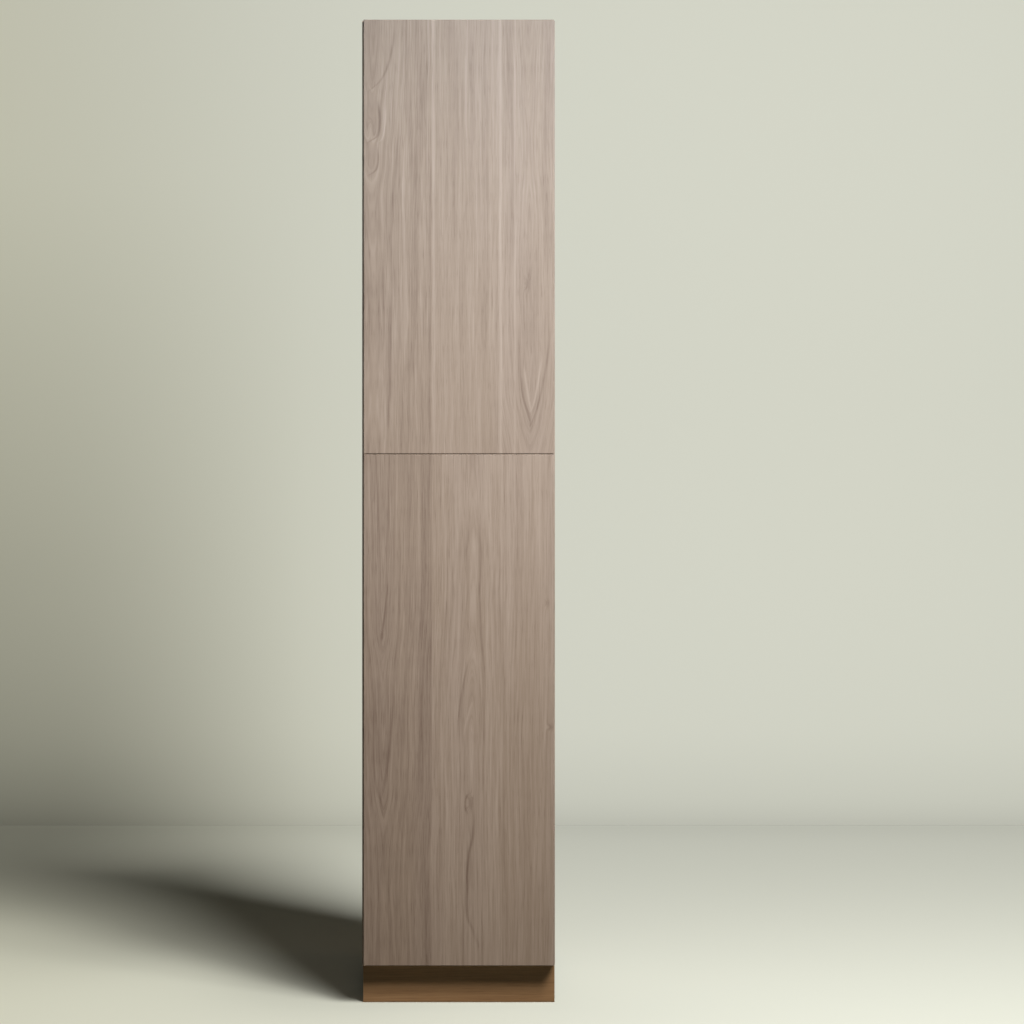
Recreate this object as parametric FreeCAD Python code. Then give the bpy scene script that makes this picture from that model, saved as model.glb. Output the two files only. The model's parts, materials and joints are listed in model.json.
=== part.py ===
import FreeCAD, Part
import math
import os

Vector = FreeCAD.Vector

# Broom cupboard, in millimetres. +Z is up, the doors face -Y, and the origin is on the floor
# under the middle of the whole cupboard.

# Carcass
CABINET_WIDTH = 400.0
CARCASS_HEIGHT = 1960.0
CARCASS_DEPTH = 600.0
FLOOR_CLEARANCE = 85.0          # underside of the carcass above the floor
PANEL_T = 18.0
SHELF_T = 18.0
BAND_T = 1.0                    # edge bands on the front edges of the carcass and shelves
BAND_ROUND = 0.5
BACK_T = 4.0
BACK_GROOVE_DEPTH = 8.0
BACK_SIDE_PLAY = 1.0            # the back stops this far short of the bottom of its groove
BACK_FACE_PLAY = 0.2            # on each face of the back in its groove
FACE_PLAY = 0.3                 # between flat faces that slide past each other

# Inside
BROOM_SPACE_HEIGHT = 1400.0     # clear height below the fixed shelf
SHELF_SPACE_HEIGHT = 244.0      # clear height above the adjustable shelf
SHELF_SETBACK = 22.0            # adjustable shelf behind the front edge of the carcass
SHELF_END_PLAY = 1.0
SHELF_REAR_PLAY = 2.0
ROW_SETBACK = 37.0              # drilled rows behind the front edge, and before the back
ROW_PITCH = 32.0
ROW_HOLES = 5
ROW_HOLE_R = 2.5
ROW_HOLE_DEPTH = 12.0
PIN_R = 2.4
PIN_DEPTH = 10.0
PIN_COLLAR_R = 4.5
PIN_COLLAR_T = 1.2
PIN_SPOON_LENGTH = 9.0
PIN_SPOON_WIDTH = 7.0
STRIP_FLANGE_HEIGHT = 20.0      # joint strip between the two parts of the back
STRIP_FLANGE_T = 1.2
STRIP_WEB_T = 1.6
STRIP_END_PLAY = 2.0

# Rails
WALL_RAIL_T = 18.0
WALL_RAIL_HEIGHT = 80.0
WALL_BOLT_SPACING = 256.0
WALL_BOLT_HOLE_R = 3.0
BROOM_RAIL_T = 18.0
BROOM_RAIL_HEIGHT = 90.0
BROOM_RAIL_LEVEL = 128.0        # middle of the rail below the fixed shelf

# Spring clips for broom handles
CLIP_COUNT = 3
CLIP_PITCH = 100.0
CLIP_INNER_R = 12.0
CLIP_STEEL_T = 1.2
CLIP_HEIGHT = 20.0
CLIP_MOUTH_HALF_ANGLE = 50.0    # degrees each side of straight forward
CLIP_LIP_LENGTH = 9.0
CLIP_FOOT_WIDTH = 26.0

# Knock-down fittings
CAM_R = 7.4
CAM_BORE_R = 7.5
CAM_DEPTH = 13.5
CAM_HEIGHT = 12.8
CAM_SETBACK = 34.0              # cam centre from the end of the panel
CAM_SLOT = 7.4
CAM_SLOT_REACH = 3.0            # the slot passes the middle of the cam by this much
BOLT_SHAFT_R = 2.9
BOLT_HEAD_R = 3.3
BOLT_HEAD_T = 3.0
BOLT_CLEAR_R = 3.5
BOLT_THREAD_R = 2.4
BOLT_THREAD_DEPTH = 10.0
DOWEL_R = 3.9
DOWEL_HOLE_R = 4.0
DOWEL_LENGTH = 30.0
DOWEL_IN_SIDE = 11.0
DOWEL_END_PLAY = 1.0
RAIL_DOWEL_SPACING = 44.0
JOINT_SPACING = 32.0            # from a cam to the dowel beside it

# Doors
DOOR_T = 19.0
DOOR_GAP = 3.0                  # between the doors and the carcass, taken up when a door is pushed
HINGED_REVEAL = 4.0             # carcass edge left showing beside the hinged edges of the doors
FREE_REVEAL = 2.0               # and beside their free edges
END_REVEAL = 1.5
DOOR_SEAM = 1.0                 # between the upper and the lower door
UPPER_DOOR_HEIGHT = 898.0
DOOR_BAND_T = 2.0               # edge bands round the doors
DOOR_BAND_ROUND = 1.7

# Concealed hinges
UPPER_HINGE_COUNT = 2
LOWER_HINGE_COUNT = 3
HINGE_END_DISTANCE = 100.0      # outer hinges from the ends of a door
CUP_R = 17.4
CUP_BORE_R = 17.5
CUP_WALL = 0.7
CUP_EDGE_DISTANCE = 20.5        # cup centre from the door's hinged edge
CUP_DEPTH = 14.4
CUP_FLANGE_R = 18.8
CUP_FLANGE_T = 1.0
CUP_WING_OFFSET = 6.0           # cup screws behind the cup centre
CUP_SCREW_SPACING = 48.0
CUP_WING_WIDTH = 12.0
PIVOT_FROM_EDGE = 7.2           # hinge pin from the door's hinged edge
PIVOT_FROM_REAR = 11.0          # hinge pin inside the door's rear face
HINGE_PIN_R = 1.1
HINGE_PIN_PLAY = 0.06
HINGE_EYE_R = 2.2
HINGE_PIN_LENGTH = 18.0
LUG_WIDTH = 5.4                 # lugs inside the cup that hold the ends of the pin
LUG_PLAY = 0.4
ARM_T = 2.0
ARM_NECK_WIDTH = 10.0
ARM_WIDTH = 17.0
ARM_KNEE_INSET = 15.8           # outer face of the arm's long leg from the pin
ARM_FLANGE_T = 1.4
ARM_NECK_END = 6.0              # the wide part of the arm starts this far inside the cupboard
PLATE_BASE_T = 2.5
PLATE_WING_WIDTH = 13.0
PLATE_WING_LENGTH = 50.0
PLATE_LENGTH = 46.0
PLATE_PLAY = 0.3

# Screws
SCREW_PLAY = 0.2
PLATE_SCREW_R = 2.3
CUP_SCREW_R = 1.7
SMALL_SCREW_R = 1.7
SOCKET_SCREW_R = 1.8
SCREW_HEAD_RATIO = 2.0          # head radius over shank radius
SCREW_HEAD_T = 1.6
SCREW_CROSS_SHARE = 0.55        # cross recess over head radius
SCREW_CROSS_WIDTH = 0.8
PLATE_SCREW_LENGTH = 11.0
CUP_SCREW_LENGTH = 11.0
SMALL_SCREW_LENGTH = 12.0
SOCKET_SCREW_LENGTH = 14.0

# Push latches
LATCH_WIDTH = 14.0
LATCH_HEIGHT = 20.0
LATCH_LENGTH = 78.0
LATCH_SETBACK = 2.0             # front of the housing behind the front edge of the carcass
LATCH_EAR_LENGTH = 12.0
LATCH_EAR_T = 3.0
PLUNGER_R = 4.0
PLUNGER_PLAY = 0.3
PLUNGER_LENGTH = 46.0
PLUNGER_TIP_R = 3.2
PLUNGER_TIP_LENGTH = 2.5
LATCH_BORE_END = 6.0
SPRING_COIL_R = 3.0
SPRING_WIRE_R = 0.4
SPRING_TURNS = 9
STRIKE_R = 9.0
STRIKE_T = 1.0
STRIKE_EDGE_DISTANCE = 23.0     # strike plate centre from the door's free edge

# Legs
LEG_INSET = 70.0                # leg centres from the side faces
LEG_FRONT_SETBACK = 100.0
LEG_REAR_SETBACK = 111.0
SOCKET_SIZE = 64.0
SOCKET_T = 4.0
SOCKET_ROUND = 8.0
SOCKET_R = 20.0
SOCKET_BOSS_HEIGHT = 24.0
SOCKET_SCREW_SPACING = 46.0
COLUMN_R = 15.0
COLUMN_PLAY = 0.2
FOOT_R = 27.0
FOOT_T = 7.0
FOOT_ROUND = 2.0
FOOT_COLLAR_R = 11.0
FOOT_COLLAR_HEIGHT = 5.0
SPINDLE_R = 8.0
SPINDLE_PLAY = 0.3
SPINDLE_LENGTH = 38.0
SPINDLE_BORE_SPARE = 4.0

# Plinth
PLINTH_T = 16.0
PLINTH_RECESS = 62.0            # face of the plinth behind the face of the doors
PLINTH_FLOOR_GAP = 0.5
PLINTH_TOP_GAP = 2.0
PLINTH_ROUND = 0.8
PLINTH_CLIP_HEIGHT = 26.0
PLINTH_CLIP_LEVEL = 44.0
PLINTH_CLIP_T = 3.0
PLINTH_CLIP_OVERRUN = 10.0      # jaws reach past the middle of the leg

# Levels and faces that follow from the sizes above
X_RIGHT = CABINET_WIDTH / 2
X_LEFT = -X_RIGHT
X_IN_RIGHT = X_RIGHT - PANEL_T
X_IN_LEFT = -X_IN_RIGHT
Y_DOOR_FRONT = -(CARCASS_DEPTH + DOOR_GAP + DOOR_T) / 2
Y_DOOR_REAR = Y_DOOR_FRONT + DOOR_T
Y_FRONT = Y_DOOR_REAR + DOOR_GAP
Y_PANEL_FRONT = Y_FRONT + BAND_T
Y_REAR = Y_FRONT + CARCASS_DEPTH
Y_BACK_REAR = Y_REAR - WALL_RAIL_T
Y_BACK_FRONT = Y_BACK_REAR - BACK_T
Z_BOTTOM = FLOOR_CLEARANCE
Z_TOP = Z_BOTTOM + CARCASS_HEIGHT
Z_IN_BOTTOM = Z_BOTTOM + PANEL_T
Z_IN_TOP = Z_TOP - PANEL_T
Z_FIXED_SHELF = Z_IN_BOTTOM + BROOM_SPACE_HEIGHT
Z_SHELF = Z_IN_TOP - SHELF_SPACE_HEIGHT - SHELF_T
Z_BROOM_RAIL = Z_FIXED_SHELF - BROOM_RAIL_LEVEL
Z_WALL_RAIL = Z_IN_TOP - WALL_RAIL_HEIGHT / 2
Z_STRIP = Z_FIXED_SHELF + SHELF_T / 2
Y_WALL_RAIL = Y_REAR - WALL_RAIL_T / 2
Y_BROOM_RAIL = Y_BACK_FRONT - BROOM_RAIL_T / 2
Y_ROW_FRONT = Y_FRONT + ROW_SETBACK
Y_ROW_REAR = Y_BACK_FRONT - ROW_SETBACK
Z_PIN = Z_SHELF - PIN_R
X_DOOR_LEFT = X_LEFT + HINGED_REVEAL
X_DOOR_RIGHT = X_RIGHT - FREE_REVEAL
Z_UPPER_DOOR_TOP = Z_TOP - END_REVEAL
Z_UPPER_DOOR_BOTTOM = Z_UPPER_DOOR_TOP - UPPER_DOOR_HEIGHT
Z_LOWER_DOOR_TOP = Z_UPPER_DOOR_BOTTOM - DOOR_SEAM
Z_LOWER_DOOR_BOTTOM = Z_BOTTOM + END_REVEAL
X_PIVOT = X_DOOR_LEFT + PIVOT_FROM_EDGE
Y_PIVOT = Y_DOOR_REAR - PIVOT_FROM_REAR
X_CUP = X_DOOR_LEFT + CUP_EDGE_DISTANCE
X_ARM = X_PIVOT + ARM_KNEE_INSET
Y_LATCH_FRONT = Y_FRONT + LATCH_SETBACK
X_LATCH = X_DOOR_RIGHT - STRIKE_EDGE_DISTANCE
X_LEGS = [X_LEFT + LEG_INSET, X_RIGHT - LEG_INSET]
Y_LEGS = [Y_FRONT + LEG_FRONT_SETBACK, Y_REAR - LEG_REAR_SETBACK]
LEG_CORNERS = ["front_left", "front_right", "rear_left", "rear_right"]
Z_COLUMN_BOTTOM = FOOT_T + FOOT_COLLAR_HEIGHT + FACE_PLAY
Y_PLINTH_FRONT = Y_DOOR_FRONT + PLINTH_RECESS
Y_PLINTH_REAR = Y_PLINTH_FRONT + PLINTH_T

UP = Vector(0, 0, 1)
DOWN = Vector(0, 0, -1)
FORWARD = Vector(0, -1, 0)
BACKWARD = Vector(0, 1, 0)
RIGHTWARD = Vector(1, 0, 0)
LEFTWARD = Vector(-1, 0, 0)


# Shared shapes

def box(x_span, y_span, z_span):
    """Block between two corners, each span given as (low, high)."""
    corner = Vector(x_span[0], y_span[0], z_span[0])
    return Part.makeBox(x_span[1] - x_span[0], y_span[1] - y_span[0], z_span[1] - z_span[0], corner)


def rod(radius, start, direction, length):
    """Cylinder that starts at a point and runs along a direction."""
    return Part.makeCylinder(radius, length, Vector(*start), direction)


def centred(middle, size):
    """Span of a size about its middle."""
    return (middle - size / 2, middle + size / 2)


def spread(count, pitch):
    """Offsets of a row of pieces about its middle."""
    return [(index - (count - 1) / 2) * pitch for index in range(count)]


def round_edges(solid, radius, wanted):
    """Rounds the edges whose middle point passes a test."""
    edges = [edge for edge in solid.Edges if wanted(edge.CenterOfMass)]
    return solid.makeFillet(radius, edges)


def aimed(shape, point, direction):
    """Copy of a shape built along +Z at the origin, moved to a point and turned to a direction."""
    copy = shape.copy()
    copy.Placement = FreeCAD.Placement(Vector(*point), FreeCAD.Rotation(UP, direction))
    return copy


def screw(shank_r, length):
    """Cross-recess screw: head above the origin, shank below it along -Z."""
    head_r = shank_r * SCREW_HEAD_RATIO
    body = Part.makeCylinder(head_r, SCREW_HEAD_T)
    body = body.fuse(Part.makeCylinder(shank_r, length, Vector(0, 0, 0), DOWN)).removeSplitter()
    reach = head_r * SCREW_CROSS_SHARE
    recess = (SCREW_HEAD_T / 2, SCREW_HEAD_T)
    slot = box((-reach, reach), centred(0, SCREW_CROSS_WIDTH), recess)
    cross = slot.fuse(box(centred(0, SCREW_CROSS_WIDTH), (-reach, reach), recess))
    return body.cut(cross)


def hole_for(shank_r, length, point, outward):
    """Blind hole for a screw whose head lies outward of a point."""
    return rod(shank_r + SCREW_PLAY, point, outward * -1, length + SCREW_PLAY)


def save(node, solids):
    """Writes the solids of one node to its STEP file."""
    shape = solids[0] if len(solids) == 1 else Part.makeCompound(solids)
    shape.exportStep("parts/" + node + ".step")


# Places of the fittings

def hinge_levels(bottom, top, count):
    """Heights of a door's hinges, from the lowest to the highest."""
    low = bottom + HINGE_END_DISTANCE
    step = (top - bottom - 2 * HINGE_END_DISTANCE) / (count - 1)
    return [low + index * step for index in range(count)]


UPPER_HINGES = hinge_levels(Z_UPPER_DOOR_BOTTOM, Z_UPPER_DOOR_TOP, UPPER_HINGE_COUNT)
LOWER_HINGES = hinge_levels(Z_LOWER_DOOR_BOTTOM, Z_LOWER_DOOR_TOP, LOWER_HINGE_COUNT)
ALL_HINGES = LOWER_HINGES + UPPER_HINGES
Z_UPPER_LATCH = (Z_UPPER_DOOR_BOTTOM + Z_UPPER_DOOR_TOP) / 2
Z_LOWER_LATCH = (Z_LOWER_DOOR_BOTTOM + Z_LOWER_DOOR_TOP) / 2
LATCH_LEVELS = [Z_LOWER_LATCH, Z_UPPER_LATCH]

# Middle height of each fixed cross panel and which way its cam bores open.
CROSS_PANELS = [
    (Z_BOTTOM + PANEL_T / 2, PANEL_T, DOWN),
    (Z_FIXED_SHELF + SHELF_T / 2, SHELF_T, DOWN),
    (Z_TOP - PANEL_T / 2, PANEL_T, UP),
]
CAM_ROWS = [Y_ROW_FRONT, Y_ROW_REAR]
DOWEL_ROWS = [Y_ROW_FRONT + JOINT_SPACING, Y_ROW_REAR - JOINT_SPACING]
RAIL_DOWELS = [
    (y, middle + offset)
    for y, middle in ((Y_WALL_RAIL, Z_WALL_RAIL), (Y_BROOM_RAIL, Z_BROOM_RAIL))
    for offset in (-RAIL_DOWEL_SPACING / 2, RAIL_DOWEL_SPACING / 2)
]
SIDES = [(X_IN_LEFT, RIGHTWARD), (X_IN_RIGHT, LEFTWARD)]


def cross_panel_cuts(level, thickness, opening):
    """Cam, bolt and dowel bores in both ends of one cross panel."""
    cuts = []
    for x_end, inward in SIDES:
        for y in CAM_ROWS:
            x_cam = x_end + inward.x * CAM_SETBACK
            mouth = level + opening.z * thickness / 2
            cuts.append(rod(CAM_BORE_R, (x_cam, y, mouth), opening * -1, CAM_DEPTH))
            cuts.append(rod(BOLT_CLEAR_R, (x_end, y, level), inward, CAM_SETBACK))
        for y in DOWEL_ROWS:
            depth = DOWEL_LENGTH - DOWEL_IN_SIDE + DOWEL_END_PLAY
            cuts.append(rod(DOWEL_HOLE_R, (x_end, y, level), inward, depth))
    return cuts


def side_joint_cuts(x_end, inward):
    """Bolt and dowel bores in the inner face of one side."""
    outward = inward * -1
    cuts = []
    for level, thickness, opening in CROSS_PANELS:
        for y in CAM_ROWS:
            cuts.append(rod(BOLT_THREAD_R + SCREW_PLAY, (x_end, y, level), outward,
                            BOLT_THREAD_DEPTH + DOWEL_END_PLAY))
        for y in DOWEL_ROWS:
            cuts.append(rod(DOWEL_HOLE_R, (x_end, y, level), outward, DOWEL_IN_SIDE + DOWEL_END_PLAY))
    for y, z in RAIL_DOWELS:
        cuts.append(rod(DOWEL_HOLE_R, (x_end, y, z), outward, DOWEL_IN_SIDE + DOWEL_END_PLAY))
    return cuts


def row_cuts(x_end, inward):
    """Drilled rows that hold the adjustable shelf's pins."""
    cuts = []
    for y in CAM_ROWS:
        for offset in spread(ROW_HOLES, ROW_PITCH):
            cuts.append(rod(ROW_HOLE_R, (x_end, y, Z_PIN + offset), inward * -1, ROW_HOLE_DEPTH))
    return cuts


def plate_screw_places():
    """Screws of the hinge plates: a point on the left side's inner face each."""
    return [(X_IN_LEFT, Y_ROW_FRONT, level + offset)
            for level in ALL_HINGES
            for offset in (-ROW_PITCH / 2, ROW_PITCH / 2)]


def latch_screw_places():
    """Screws of the latch housings: a point on the right side's inner face each."""
    y_ear = Y_LATCH_FRONT + LATCH_LENGTH + LATCH_EAR_LENGTH / 2
    return [(X_IN_RIGHT, y_ear, level + offset)
            for level in LATCH_LEVELS
            for offset in (-LATCH_HEIGHT / 4, LATCH_HEIGHT / 4)]


# Carcass panels

def side_panel(x_span, x_end, inward, extra_cuts):
    """Carcass side with its joint bores, drilled rows and the groove for the back."""
    panel = box(x_span, (Y_PANEL_FRONT, Y_REAR), (Z_BOTTOM, Z_TOP))
    groove_z = (Z_IN_BOTTOM - BACK_GROOVE_DEPTH, Z_IN_TOP + BACK_GROOVE_DEPTH)
    groove_x = sorted((x_end, x_end - inward.x * BACK_GROOVE_DEPTH))
    groove = box(groove_x, groove_y(), groove_z)
    return panel.cut([groove] + side_joint_cuts(x_end, inward) + row_cuts(x_end, inward) + extra_cuts)


def groove_y():
    """Front and rear faces of the groove that holds the back."""
    return (Y_BACK_FRONT - BACK_FACE_PLAY, Y_BACK_REAR + BACK_FACE_PLAY)


def left_side():
    """Left side, with pilot holes for the hinge plates."""
    screws = [hole_for(PLATE_SCREW_R, PLATE_SCREW_LENGTH, place, RIGHTWARD)
              for place in plate_screw_places()]
    return side_panel((X_LEFT, X_IN_LEFT), X_IN_LEFT, RIGHTWARD, screws)


def right_side():
    """Right side, with pilot holes for the latches."""
    screws = [hole_for(SMALL_SCREW_R, SMALL_SCREW_LENGTH, place, LEFTWARD)
              for place in latch_screw_places()]
    return side_panel((X_IN_RIGHT, X_RIGHT), X_IN_RIGHT, LEFTWARD, screws)


def top_panel():
    """Top, grooved below for the back, its cams let in from above."""
    panel = box((X_IN_LEFT, X_IN_RIGHT), (Y_PANEL_FRONT, Y_REAR), (Z_IN_TOP, Z_TOP))
    groove = box((X_IN_LEFT, X_IN_RIGHT), groove_y(), (Z_IN_TOP, Z_IN_TOP + BACK_GROOVE_DEPTH))
    level, thickness, opening = CROSS_PANELS[2]
    return panel.cut([groove] + cross_panel_cuts(level, thickness, opening))


def bottom_panel():
    """Bottom, grooved above for the back, its cams and the leg sockets' screws let in from below."""
    panel = box((X_IN_LEFT, X_IN_RIGHT), (Y_PANEL_FRONT, Y_REAR), (Z_BOTTOM, Z_IN_BOTTOM))
    groove = box((X_IN_LEFT, X_IN_RIGHT), groove_y(), (Z_IN_BOTTOM - BACK_GROOVE_DEPTH, Z_IN_BOTTOM))
    screws = [hole_for(SOCKET_SCREW_R, SOCKET_SCREW_LENGTH - SOCKET_T, (x, y, Z_BOTTOM), DOWN)
              for x, y in socket_screw_places()]
    level, thickness, opening = CROSS_PANELS[0]
    return panel.cut([groove] + screws + cross_panel_cuts(level, thickness, opening))


def fixed_shelf():
    """Shelf that closes the broom space and ties the sides together."""
    rear = Y_BACK_FRONT - SHELF_REAR_PLAY
    panel = box((X_IN_LEFT, X_IN_RIGHT), (Y_PANEL_FRONT, rear), (Z_FIXED_SHELF, Z_FIXED_SHELF + SHELF_T))
    level, thickness, opening = CROSS_PANELS[1]
    return panel.cut(cross_panel_cuts(level, thickness, opening))


def adjustable_shelf():
    """Loose shelf on pins."""
    front = Y_FRONT + SHELF_SETBACK + BAND_T
    x_span = (X_IN_LEFT + SHELF_END_PLAY, X_IN_RIGHT - SHELF_END_PLAY)
    return box(x_span, (front, Y_BACK_FRONT - SHELF_REAR_PLAY), (Z_SHELF, Z_SHELF + SHELF_T))


def front_band(x_span, z_span, y_front):
    """Edge band on a front edge, with its two long front corners rounded."""
    band = box(x_span, (y_front, y_front + BAND_T), z_span)
    upright = z_span[1] - z_span[0] > x_span[1] - x_span[0]

    def wanted(point):
        at_front = abs(point.y - y_front) < BAND_T / 2
        if upright:
            return at_front and abs(point.x - sum(x_span) / 2) > BAND_T
        return at_front and abs(point.z - sum(z_span) / 2) > BAND_T

    return round_edges(band, BAND_ROUND, wanted)


def carcass_bands():
    """Edge bands on the fixed panels."""
    inside = (X_IN_LEFT, X_IN_RIGHT)
    return [
        front_band((X_LEFT, X_IN_LEFT), (Z_BOTTOM, Z_TOP), Y_FRONT),
        front_band((X_IN_RIGHT, X_RIGHT), (Z_BOTTOM, Z_TOP), Y_FRONT),
        front_band(inside, (Z_BOTTOM, Z_IN_BOTTOM), Y_FRONT),
        front_band(inside, (Z_IN_TOP, Z_TOP), Y_FRONT),
        front_band(inside, (Z_FIXED_SHELF, Z_FIXED_SHELF + SHELF_T), Y_FRONT),
    ]


def shelf_band():
    """Edge band of the adjustable shelf."""
    x_span = (X_IN_LEFT + SHELF_END_PLAY, X_IN_RIGHT - SHELF_END_PLAY)
    return front_band(x_span, (Z_SHELF, Z_SHELF + SHELF_T), Y_FRONT + SHELF_SETBACK)


def shelf_pins():
    """Four pins in the drilled rows, each with a collar and a spoon under the shelf."""
    pins = []
    for x_end, inward in SIDES:
        for y in CAM_ROWS:
            pin = rod(PIN_R, (x_end, y, Z_PIN), inward * -1, PIN_DEPTH)
            collar = rod(PIN_COLLAR_R, (x_end, y, Z_PIN), inward, PIN_COLLAR_T)
            spoon_x = sorted((x_end, x_end + inward.x * PIN_SPOON_LENGTH))
            spoon = box(spoon_x, centred(y, PIN_SPOON_WIDTH), (Z_PIN - PIN_R, Z_SHELF))
            above = box(spoon_x, centred(y, 2 * PIN_COLLAR_R), (Z_SHELF, Z_SHELF + PIN_COLLAR_R))
            pins.append(pin.fuse([collar, spoon]).cut(above).removeSplitter())
    return pins


# Back and rails

def back_panel(z_span, cuts):
    """Sheet between the side grooves, over a span of height."""
    reach = BACK_GROOVE_DEPTH - BACK_SIDE_PLAY
    panel = box((X_IN_LEFT - reach, X_IN_RIGHT + reach), (Y_BACK_FRONT, Y_BACK_REAR), z_span)
    return panel.cut(cuts) if cuts else panel


def wall_bolt_cuts():
    """Holes for the wall bolts, through the back and the rail behind it."""
    length = BACK_T + WALL_RAIL_T
    return [rod(WALL_BOLT_HOLE_R, (x, Y_BACK_FRONT, Z_WALL_RAIL), BACKWARD, length)
            for x in spread(2, WALL_BOLT_SPACING)]


def upper_back():
    """Back above the joint strip, bored for the wall bolts."""
    low = Z_STRIP + STRIP_WEB_T / 2 + BACK_FACE_PLAY
    return back_panel((low, Z_IN_TOP + BACK_GROOVE_DEPTH - BACK_SIDE_PLAY), wall_bolt_cuts())


def lower_back():
    """Back below the joint strip."""
    high = Z_STRIP - STRIP_WEB_T / 2 - BACK_FACE_PLAY
    return back_panel((Z_IN_BOTTOM - BACK_GROOVE_DEPTH + BACK_SIDE_PLAY, high), [])


def back_joint_strip():
    """H-shaped strip that joins the two parts of the back."""
    x_span = (X_IN_LEFT + STRIP_END_PLAY, X_IN_RIGHT - STRIP_END_PLAY)
    faces = (Y_BACK_FRONT - BACK_FACE_PLAY, Y_BACK_REAR + BACK_FACE_PLAY)
    flange_z = centred(Z_STRIP, STRIP_FLANGE_HEIGHT)
    web = box(x_span, faces, centred(Z_STRIP, STRIP_WEB_T))
    front = box(x_span, (faces[0] - STRIP_FLANGE_T, faces[0]), flange_z)
    rear = box(x_span, (faces[1], faces[1] + STRIP_FLANGE_T), flange_z)
    return web.fuse([front, rear]).removeSplitter()


def rail(y_middle, thickness, z_middle, height):
    """Rail between the sides, bored for a pair of dowels in each end."""
    panel = box((X_IN_LEFT, X_IN_RIGHT), centred(y_middle, thickness), centred(z_middle, height))
    depth = DOWEL_LENGTH - DOWEL_IN_SIDE + DOWEL_END_PLAY
    cuts = [rod(DOWEL_HOLE_R, (x_end, y_middle, z_middle + offset), inward, depth)
            for x_end, inward in SIDES
            for offset in (-RAIL_DOWEL_SPACING / 2, RAIL_DOWEL_SPACING / 2)]
    return panel.cut(cuts)


def wall_rail():
    """Rail behind the back that takes the wall bolts."""
    blank = rail(Y_WALL_RAIL, WALL_RAIL_T, Z_WALL_RAIL, WALL_RAIL_HEIGHT)
    return blank.cut(wall_bolt_cuts())


def broom_rail():
    """Rail before the back that carries the broom clips."""
    blank = rail(Y_BROOM_RAIL, BROOM_RAIL_T, Z_BROOM_RAIL, BROOM_RAIL_HEIGHT)
    face = Y_BACK_FRONT - BROOM_RAIL_T
    screws = [hole_for(SMALL_SCREW_R, SMALL_SCREW_LENGTH, (x, face, Z_BROOM_RAIL), FORWARD)
              for x in spread(CLIP_COUNT, CLIP_PITCH)]
    return blank.cut(screws)


def broom_clip(x):
    """Sprung steel clip: a foot on the rail and a split ring with flared lips."""
    face = Y_BACK_FRONT - BROOM_RAIL_T
    z_span = centred(Z_BROOM_RAIL, CLIP_HEIGHT)
    outer_r = CLIP_INNER_R + CLIP_STEEL_T
    y_ring = face - outer_r
    base = (x, y_ring, z_span[0])
    ring = rod(outer_r, base, UP, CLIP_HEIGHT)
    foot = box(centred(x, CLIP_FOOT_WIDTH), (face - CLIP_STEEL_T, face), z_span)
    bore = rod(CLIP_INNER_R, base, UP, CLIP_HEIGHT)
    angle = math.radians(CLIP_MOUTH_HALF_ANGLE)
    reach = 2 * outer_r
    wedge_points = [
        Vector(x, y_ring, z_span[0]),
        Vector(x - reach * math.sin(angle), y_ring - reach * math.cos(angle), z_span[0]),
        Vector(x + reach * math.sin(angle), y_ring - reach * math.cos(angle), z_span[0]),
        Vector(x, y_ring, z_span[0]),
    ]
    wedge = Part.Face(Part.makePolygon(wedge_points)).extrude(UP * CLIP_HEIGHT)
    clip = ring.cut(wedge).fuse(foot)
    for side in (-1, 1):
        lip = box((0, CLIP_STEEL_T), (-CLIP_LIP_LENGTH, 0), (0, CLIP_HEIGHT))
        lip.translate(Vector(-CLIP_STEEL_T / 2, 0, 0))
        lip.rotate(Vector(0, 0, 0), UP, side * CLIP_MOUTH_HALF_ANGLE / 2)
        radius = CLIP_INNER_R + CLIP_STEEL_T / 2
        x_lip = x + side * radius * math.sin(angle)
        lip.translate(Vector(x_lip, y_ring - radius * math.cos(angle), z_span[0]))
        clip = clip.fuse(lip)
    hole = rod(SMALL_SCREW_R + SCREW_PLAY, (x, y_ring, Z_BROOM_RAIL), BACKWARD, 2 * outer_r)
    seat_r = SMALL_SCREW_R * SCREW_HEAD_RATIO + SCREW_PLAY
    seat = rod(seat_r, (x, y_ring, Z_BROOM_RAIL), BACKWARD, CLIP_INNER_R)
    return clip.cut([bore, seat, hole]).removeSplitter()


def broom_clip_screws():
    """One screw through the foot of each clip."""
    face = Y_BACK_FRONT - BROOM_RAIL_T - CLIP_STEEL_T
    pattern = screw(SMALL_SCREW_R, SMALL_SCREW_LENGTH)
    return [aimed(pattern, (x, face, Z_BROOM_RAIL), FORWARD) for x in spread(CLIP_COUNT, CLIP_PITCH)]


# Knock-down fittings

def cam_lock(x_cam, y, level, thickness, opening, inward):
    """Cam with a slot that takes the head of its bolt."""
    mouth = level + opening.z * thickness / 2
    top = mouth - opening.z * (CAM_DEPTH - CAM_HEIGHT)
    cam = rod(CAM_R, (x_cam, y, top), opening * -1, CAM_HEIGHT)
    far = x_cam + inward.x * CAM_SLOT_REACH
    near = x_cam - inward.x * 2 * CAM_R
    slot = box(sorted((near, far)), centred(y, CAM_SLOT), centred(level, CAM_SLOT))
    return cam.cut(slot)


def cam_locks():
    """Cams at both ends of the cross panels."""
    return [cam_lock(x_end + inward.x * CAM_SETBACK, y, level, thickness, opening, inward)
            for level, thickness, opening in CROSS_PANELS
            for x_end, inward in SIDES
            for y in CAM_ROWS]


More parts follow.
